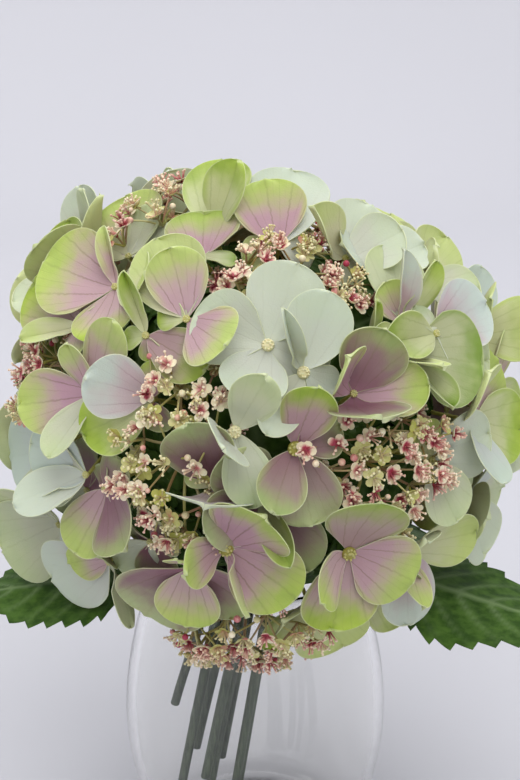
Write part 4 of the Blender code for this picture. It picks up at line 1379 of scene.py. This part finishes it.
    def _cushion(self, petals: Obstacles, rng: np.random.Generator) -> Object:
        """Build the cushion: rays that part from a hub, part again, and carry tiny flowers and buds.

        Args:
            petals: Every petal's middle and surface, which the flowers keep clear of.
            rng: The source of small differences.

        Returns:
            The piece.
        """
        soup = Soup()
        foot = DOME_CENTRE + self.axis * (self.boss[1] - 1 * MM)
        middle = direction(*self.place.middle)
        hub_way = middle.lerp(self.axis, 0.3).normalized()
        hub = DOME_CENTRE + hub_way * (self.hub_reach + self.place.drop * 0.5) * MM
        self._ray(soup, [foot, foot.lerp(hub, 0.5) + self.axis * 2 * MM, hub], 1.5, 1.2, rng)
        flower, place = TinyFlower(), self.place
        for i in range(self.place.clusters):
            ring = 0.0 if i == 0 else 0.66 + 0.12 * (i % 2)
            turn = math.radians(360 * i / (self.place.clusters - 1) + 25)
            fork_way = self._aim(ring * math.cos(turn), ring * math.sin(turn))
            fork = DOME_CENTRE + fork_way * (self.fork_reach + self.place.drop - 3 * ring) * MM
            self._ray(soup, [hub, hub.lerp(fork, 0.55) + middle * 2.5 * MM, fork], 1.0, 0.8, rng)
            for k in range(7):
                bearing = 2 * math.pi * k / 6 + rng.uniform(-0.3, 0.3)
                out = 0.0 if k == 6 else rng.uniform(0.22, 0.40)
                a = ring * math.cos(turn) + out * math.cos(bearing)
                b = ring * math.sin(turn) + out * math.sin(bearing)
                way = self._aim(a, b)
                reach = self.tip_reach + self.place.drop - 4.5 * (a * a + b * b) + rng.uniform(-4.0, 1.5)
                lean = (way + (way - fork_way) * rng.uniform(1.0, 3.5)).normalized()
                reach = self._clear_reach(way, lean, reach, petals)
                if not reach:
                    continue
                tip = DOME_CENTRE + way * reach * MM
                self._ray(soup, [fork, fork.lerp(tip, 0.5) + fork_way * 0.8 * MM, tip], 0.75, 0.5, rng)
                if rng.random() < 0.18:
                    self._bud(soup, tip, lean, rng)
                else:
                    stand = turned_to(lean, tip, rng.uniform(0, 72))
                    flower.put(soup, stand, rng, place.rose, place.olive)
        return soup.to_object(f"cushion_{self.name}", self.plastic)

    def _clear_reach(self, way: Vector, lean: Vector, reach: float, petals: Obstacles) -> float:
        """Find how far out a tiny flower can stand without touching a petal.

        Args:
            way: The way out to it.
            lean: Where it faces.
            reach: How far out it would stand, in mm.
            petals: Every petal's middle and surface.

        Returns:
            The reach in mm, or 0 where there is no room.
        """
        for less in self.pull_backs:
            middle = DOME_CENTRE + way * (reach - less) * MM + lean * 3 * MM
            near = [tree for at, tree in petals if (at - middle).length < 0.035]
            if all(tree.find_nearest(middle, self.flower_room)[0] is None for tree in near):
                return reach - less
        return 0

    def _aim(self, across: float, up: float) -> Vector:
        """Find a way out through the cushion.

        Args:
            across: How far towards its right edge, from -1 to 1.
            up: How far towards its upper edge.

        Returns:
            The unit vector from the dome's middle.
        """
        frame = turned_to(direction(*self.place.middle), Vector())
        a, b = (math.radians(share * spread) for share, spread in zip((across, up), self.place.spread))
        return (frame @ Vector((math.tan(a), math.tan(b), 1))).normalized()

    def _ray(
        self, soup: Soup, points: list[Vector], start: float, end: float, rng: np.random.Generator
    ) -> None:
        """Add one ray of the cushion.

        Args:
            soup: Where the forms are gathered.
            points: The places it passes through.
            start: How thick it begins, in mm: its radius is 0.8 times that.
            end: How thick it ends.
            rng: The source of its tint.
        """
        route = np.array([tuple(p) for p in smooth_route(points, self.ray_points)])
        form, faces = tube(route, np.linspace(start, end, self.ray_points) * MM * 0.8, 6)
        # the third value browns the ray: partly its own brown, partly painted shade inside the cushion
        tint = np.array((rng.uniform(0.0, 0.5), rng.uniform(0.6, 1.0), rng.uniform(0.15, 0.70), 1))
        soup.put(form, faces, tint=tint)

    def _bud(self, soup: Soup, tip: Vector, lean: Vector, rng: np.random.Generator) -> None:
        """Add a closed bud at the end of a ray.

        Args:
            soup: Where the forms are gathered.
            tip: Where it stands.
            lean: Where it points.
            rng: The source of its size and tint.
        """
        radius = rng.uniform(1.2, 1.8)
        shape = [(0, 1), (0.55, 0.84), (0.95, 0.3), (0.95, -0.3), (0.55, -0.84), (0, -1)]
        form, faces = turned([(r * radius * MM, z * radius * MM) for r, z in shape], 10)
        tint = np.array((np.clip(rng.normal(self.place.rose, 0.2), 0, 0.9), rng.uniform(0.0, 0.5), 0.0, 1))
        soup.put(moved(form, turned_to(lean, tip)), faces, tint=tint)

    def _neck(self) -> Vector:
        """Find where the stem crosses the vase's mouth.

        Returns:
            Its place from the bundle's middle.
        """
        heads = CORE_HEADS if self.name in CORE_HEADS else RING_HEADS
        first, radius = self.core if heads is CORE_HEADS else self.ring
        return direction(first + 360 * heads.index(self.name) / len(heads), 0) * radius * MM

    def _stem(self) -> Object:
        """Build the stem: from under the head, in to the bundle, through the mouth, to its cut end.

        Returns:
            The piece.
        """
        across = self._neck()
        neck = Vector((0, 0, self.neck_height)) + across
        elbow = DOME_CENTRE + self.axis * self.stem_top * 0.5
        elbow.z = min(elbow.z, DOME_CENTRE.z + 0.012) - 0.010
        end = Vector((*self.foot_shift, 0)) + across * self.foot_spread
        end.z = self.place.cut * MM
        top = DOME_CENTRE + self.axis * self.stem_top
        below = DOME_CENTRE + self.axis * (self.stem_top - 5 * MM)
        route = [top, *smooth_route([below, elbow, neck, end], 40)]
        points, faces = tube(np.array([tuple(p) for p in route]), np.full(41, self.stem_radius), 14)
        soup = Soup()
        soup.put(points, faces)
        return soup.to_object(f"stem_finish_{self.name}", self.coat)


# ---------------------------------------------------------------- leaves


@dataclass
class Leaf:
    """A toothed leaf on its stalk.

    Azimuth, pitch and droop are in degrees, and lengths in metres. The root is where it starts, from the
    vase's axis, and fold lifts its sides from the midrib.
    """

    name: str
    azimuth: float
    length: float
    width: float
    pitch: float
    droop: float
    root_height: float = 186 * MM
    fold: float = 0.18
    root_radius: float = 30 * MM
    teeth: int = 10
    thickness: float = 0.6 * MM

    def build(self, cloth: Material) -> Object:
        """Build the leaf.

        Args:
            cloth: Its material.

        Returns:
            The piece.
        """
        points, values, faces = self.shell(96, 23)
        root = Vector((0, 0, self.root_height)) + direction(self.azimuth, 0) * self.root_radius
        matrix = Matrix.Translation(root) @ Matrix.Rotation(math.radians(self.azimuth + 180), 4, "Z")
        soup = Soup()
        soup.put(moved(points, matrix), faces, place=values)
        piece = soup.to_object(f"{self.name}_cloth", cloth)
        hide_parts(self.name)
        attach(piece, BODY)
        return piece

    def shell(self, rows: int, columns: int) -> tuple[np.ndarray, np.ndarray, Faces]:
        """Give the blade its thickness.

        Args:
            rows: Points along it.
            columns: Points across it.

        Returns:
            The closed form's points, each point's place values, and the faces.
        """
        grid, place = self.blade(rows, columns)
        below = place.copy()
        below[..., 2] = 1.0
        values = np.concatenate([place.reshape(-1, 4), below.reshape(-1, 4)])
        return both_sides(grid, self.thickness), values, sheet_faces(rows, columns)

    def blade(self, rows: int, columns: int) -> tuple[np.ndarray, np.ndarray]:
        """Shape the blade, its stalk and its pressed veins, running along +Y.

        Args:
            rows: Points along it.
            columns: Points across it.

        Returns:
            The grid of points, and for each its place: along, vein strength and underside.
        """
        u, v = np.linspace(0, 1, rows), np.linspace(-1, 1, columns)
        along, across = np.meshgrid(u, v, indexing="ij")
        blade = np.clip((along - 0.16) / 0.84, 0, 1)
        half = 0.0013 + self.width / 2 * np.sin(math.pi * blade**0.8) ** 0.85
        saw = (blade * self.teeth) % 1.0
        to_tip = np.clip((1 - blade) * 6, 0, 1)
        tooth = 0.17 * self.width / 2 * (saw - 0.5) * np.clip((blade - 0.08) * 8, 0, 1) * to_tip
        half = half + tooth * np.abs(across) ** 6
        half = np.maximum(half, 0.0006)
        side = across * half
        rise = np.radians(self.pitch - self.droop * along)
        sweep = along + 0.10 * np.abs(across) ** 1.5 * np.clip(blade * 4, 0, 1) * (1 - blade)
        ribs = blade * 7 - 1.6 * np.abs(across) ** 1.2
        rib = np.exp(-(((ribs % 1.0) - 0.5) / 0.10) ** 2) * np.clip(blade * 10, 0, 1) * to_tip
        mid = np.exp(-((side / (1.1 * MM)) ** 2))
        vein = np.maximum(mid, rib * 0.75 * np.clip(1.15 - np.abs(across), 0, 1))
        quilt = np.abs(np.sin(math.pi * ribs)) * np.clip(blade * 6, 0, 1)
        quilt = quilt * (1 - mid) * (1 - np.abs(across) ** 3)
        lift = self.fold * np.abs(side) + 1.1 * MM * quilt * (1 - blade * 0.5) + 0.35 * MM * mid
        lift += 1.6 * MM * np.abs(across) ** 3 * np.sin(blade * 13 + np.sign(across))
        y = self.length * sweep * np.cos(rise)
        z = self.length * along * np.sin(rise) + lift
        grid = np.stack([-side, y, z], axis=2)
        place = np.stack([along, vein, np.zeros_like(along), np.ones_like(along)], axis=2)
        return grid, place


@dataclass
class Collar:
    """The dark toothed leaves that spread under each head and close the bunch's inside."""

    axis: Vector
    turn: float
    count: int = 4
    start: float = 65 * MM
    leaf: Leaf = field(
        default_factory=lambda: Leaf("collar", 0, 62 * MM, 46 * MM, 30, 40, 0, 0.10, 5 * MM)
    )

    def put(self, soup: Soup) -> None:
        """Add the collar's leaves.

        Args:
            soup: Where the forms are gathered.
        """
        points, values, faces = self.leaf.shell(40, 11)
        at = DOME_CENTRE + self.axis * self.start
        for k in range(self.count):
            frame = turned_to(self.axis, at, self.turn + 360 / self.count * k)
            out = frame @ Matrix.Translation((0, self.leaf.root_radius, 0))
            soup.put(moved(points, out), faces, place=values)


# ---------------------------------------------------------------- vase and studio


@dataclass
class Vase:
    """The blown glass vase: a rounded belly, a thick floor and a fire-polished lip. Sizes in metres."""

    height: float = 0.170
    foot: float = 0.042
    belly: float = 0.0695
    belly_height: float = 0.082
    mouth: float = 0.052
    wall: float = 0.0050
    floor: float = 0.011
    floor_radius: float = 0.0362
    dish: float = 0.0004
    knee: float = 0.020  # the height where the floor's curve meets the wall
    lip: float = 0.0016
    rounding: float = 0.0025
    inset: float = 0.0022

    def radius(self, height: float) -> float:
        """Find the outer radius at a height.

        Args:
            height: The height.

        Returns:
            The radius there.
        """
        if height < self.belly_height:
            short = 1 - height / self.belly_height
            return math.sqrt(self.foot**2 + (self.belly**2 - self.foot**2) * (1 - short**2))
        share = (height - self.belly_height) / (self.height - self.belly_height)
        return self.mouth + (self.belly - self.mouth) * math.cos(share * math.pi / 2)

    def build(self, glass: Material) -> Object:
        """Build the vase.

        Args:
            glass: Its material.

        Returns:
            The piece.
        """
        points, faces = turned(self._profile(), 128)
        soup = Soup()
        soup.put(points, faces)
        piece = soup.to_object("vase_glass", glass, sharp=70)
        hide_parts("vase")
        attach(piece, BODY)
        return piece

    def _profile(self) -> list[tuple[float, float]]:
        """Trace the section: up the inside from the floor's middle, over the lip and down the outside.

        Returns:
            Radius and height pairs.
        """
        inside = [(0.0, self.floor)]
        for k in range(1, 7):
            inside.append((self.floor_radius * k / 6, self.floor + self.dish * (k / 6) ** 2))
        across = self.radius(self.knee) - self.wall - self.floor_radius
        for k in range(1, 9):
            turn = math.pi / 2 * k / 9
            up = (self.knee - self.floor) * (1 - math.cos(turn))
            inside.append((self.floor_radius + across * math.sin(turn), self.floor + self.dish + up))
        top = self.height - self.lip
        for k in range(40):
            z = self.knee + (top - self.knee) * k / 39
            inside.append((self.radius(z) - self.wall, z))
        lip, middle = [], self.radius(top) - self.wall / 2
        for k in range(1, 8):
            turn = math.pi * k / 8
            lip.append((middle - self.wall / 2 * math.cos(turn), top + self.lip * math.sin(turn)))
        outside = []
        for k in range(48):
            z = top - (top - self.rounding) * k / 47
            outside.append((self.radius(z), z))
        edge, rounded = self.radius(self.rounding), []
        for k in range(1, 6):
            turn = math.pi / 2 * k / 5
            rounded.append((edge - self.inset * (1 - math.cos(turn)), self.rounding * (1 - math.sin(turn))))
        return [*inside, *lip, *outside, *rounded, (0.0, 0.0)]


@dataclass
class Studio:
    """The pale sweep, the soft lamps, the room with its greyer sides, and the camera. Lengths in metres."""

    tilt: float = 20.0
    distance: float = 0.750
    target: Place = (0.0026, 0.0, 0.263)
    lens: float = 69.2
    sky: str = "f4f4f6"
    sides: str = "b8b8bc"
    sky_strength: float = 0.90
    half_width: float = 3.0
    floor_front: float = -1.6
    floor_back: float = 1.4
    bend: float = 0.7
    wall_top: float = 3.2
    under: float = 0.0002  # how far the paper lies under the vase, so that the two don't share a plane

    def build(self) -> None:
        """Set up the sweep, the lamps, the sky and the camera."""
        self._sweep()
        self._lamp("key_softbox", (0.3, -1.4, 2.9), (0.0, 0.2, 0.2), 2.6, 42)
        self._lamp("rear_softbox", (-0.3, 1.2, 2.6), (0.0, 0.6, 0.1), 2.4, 36)
        world = bpy.data.worlds.new("soft_room")
        world.use_nodes = True
        tree = world.node_tree
        around = add(tree, "TexCoord", output="Generated")
        sideways = add(tree, "SeparateXYZ", (around,))
        sideways = add(tree, "Math", (sideways,), operation="ABSOLUTE")
        shade = add(tree, "MapRange", (sideways, 0.62, 0.90), **EASED)
        room = add(tree, "Mix", {0: shade, 6: linear(self.sky), 7: linear(self.sides)}, 2, **COLOURS)
        feed(tree.nodes["Background"], {"Color": room, "Strength": self.sky_strength})
        bpy.context.scene.world = world
        bpy.context.scene.view_settings.view_transform = "Standard"
        self._camera()

    def _sweep(self) -> None:
        """Lay the paper sweep: a floor that curves up into a back wall."""
        section = [(self.floor_front, 0.0), (self.floor_back, 0.0)]
        for degrees in range(6, 91, 6):
            turn = math.radians(degrees)
            across, up = self.bend * math.sin(turn), self.bend * math.cos(turn)
            section.append((self.floor_back + across, self.bend - up))
        section.append((self.floor_back + self.bend, self.wall_top))
        points, faces = [], []
        for y, z in section:
            points += [(-self.half_width, y, z - self.under), (self.half_width, y, z - self.under)]
        for i in range(len(section) - 1):
            faces.append((2 * i, 2 * i + 1, 2 * i + 3, 2 * i + 2))
        soup = Soup()
        soup.put(np.array(points), faces)
        sweep = soup.to_object("paper_sweep", PaperSweep().build(), sharp=60)

    def _lamp(self, name: str, at: Place, aim: Place, size: float, watts: float) -> None:
        """Hang one soft lamp.

        Args:
            name: Its name.
            at: Where it hangs.
            aim: Where it points.
            size: Its width in metres.
            watts: Its power.
        """
        lamp = bpy.data.lights.new(name, "AREA")
        lamp.shape = "DISK"
        lamp.size = size
        lamp.energy = watts
        made = bpy.data.objects.new(name, lamp)
        made.location = at
        made.rotation_euler = (Vector(aim) - Vector(at)).to_track_quat("-Z", "Y").to_euler()
        bpy.context.scene.collection.objects.link(made)

    def _camera(self) -> None:
        """Stand the camera in front, looking down on the dome."""
        data = bpy.data.cameras.new("front_camera")
        data.lens = self.lens
        data.clip_start = 0.01
        made = bpy.data.objects.new("front_camera", data)
        tilt = math.radians(self.tilt)
        back = Vector((0, -math.cos(tilt), math.sin(tilt)))
        made.location = Vector(self.target) + back * self.distance
        made.rotation_euler = (-back).to_track_quat("-Z", "Y").to_euler()
        bpy.context.scene.collection.objects.link(made)
        bpy.context.scene.camera = made


# ---------------------------------------------------------------- the bunch


@dataclass
class Bouquet:
    """The whole bunch in its vase. The gaps are the places between heads that a collar of leaves closes."""

    leaves: tuple[Leaf, ...] = (
        Leaf("leaf_left", -79, 0.118, 0.080, -20, -10, 0.184, -0.12),
        Leaf("leaf_right", 71, 0.136, 0.084, -13, -2, 0.184, -0.12),
        Leaf("leaf_rear_left", -130, 0.105, 0.064, -6, 24),
        Leaf("leaf_rear", 178, 0.105, 0.064, -6, 24),
        Leaf("leaf_rear_right", 122, 0.110, 0.066, -6, 24),
    )
    gaps: tuple[tuple[float, float], ...] = (
        (-52, -10), (-50, 34), (62, -16), (58, 30), (4, -18), (-4, 30), (-100, 44), (12, -36),
        (69, 10), (60, -25), (-94, 32), (-73, -18), (-68, -26), (-62, -12), (-58, 0),
    )

    def build(self) -> None:
        """Build every piece and report it."""
        cloth = PrintedPetalCloth().build()
        plastic = MouldedFlowerPlastic().build()
        coat = DippedStemCoat().build()
        leaf_cloth = PrintedLeafCloth().build()
        LOG.info("vase: %s", Vase().build(BlownClearGlass().build()).name)
        for leaf in self.leaves:
            LOG.info("leaf: %s", leaf.build(leaf_cloth).name)
        self._collars(leaf_cloth)
        maker = FloretMaker()
        florets = [*FLORETS, *Wreaths().florets()]
        petals = {i: maker.place(florets[i], i) for i in front_first(florets)}
        for name, place in HEADS.items():
            chosen = [i for i, floret in enumerate(florets) if floret.head == name]
            head = Head(name, place, cloth, plastic, coat)
            pieces = head.build([florets[i] for i in chosen], [petals[i] for i in chosen], maker.placed)
            LOG.info("head %s: %s", name, ", ".join(piece.name for piece in pieces))

    def _collars(self, leaf_cloth: Material) -> None:
        """Build the collars of all the heads and gaps as one piece.

        Args:
            leaf_cloth: Its material.
        """
        soup = Soup()
        spots = [(place.azimuth, place.height) for place in HEADS.values()]
        for i, spot in enumerate([*spots, *self.gaps]):
            Collar(direction(*spot), 20 + 25 * i).put(soup)
        piece = soup.to_object("collar_leaves", leaf_cloth)
        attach(piece, BODY)
        LOG.info("collars: %s", piece.name)


def main() -> None:
    """Load the frame, and build the bunch and the studio."""
    logging.basicConfig(level=logging.INFO, format="%(name)s: %(message)s")
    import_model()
    Bouquet().build()
    Studio().build()


if __name__ == "__main__":
    main()
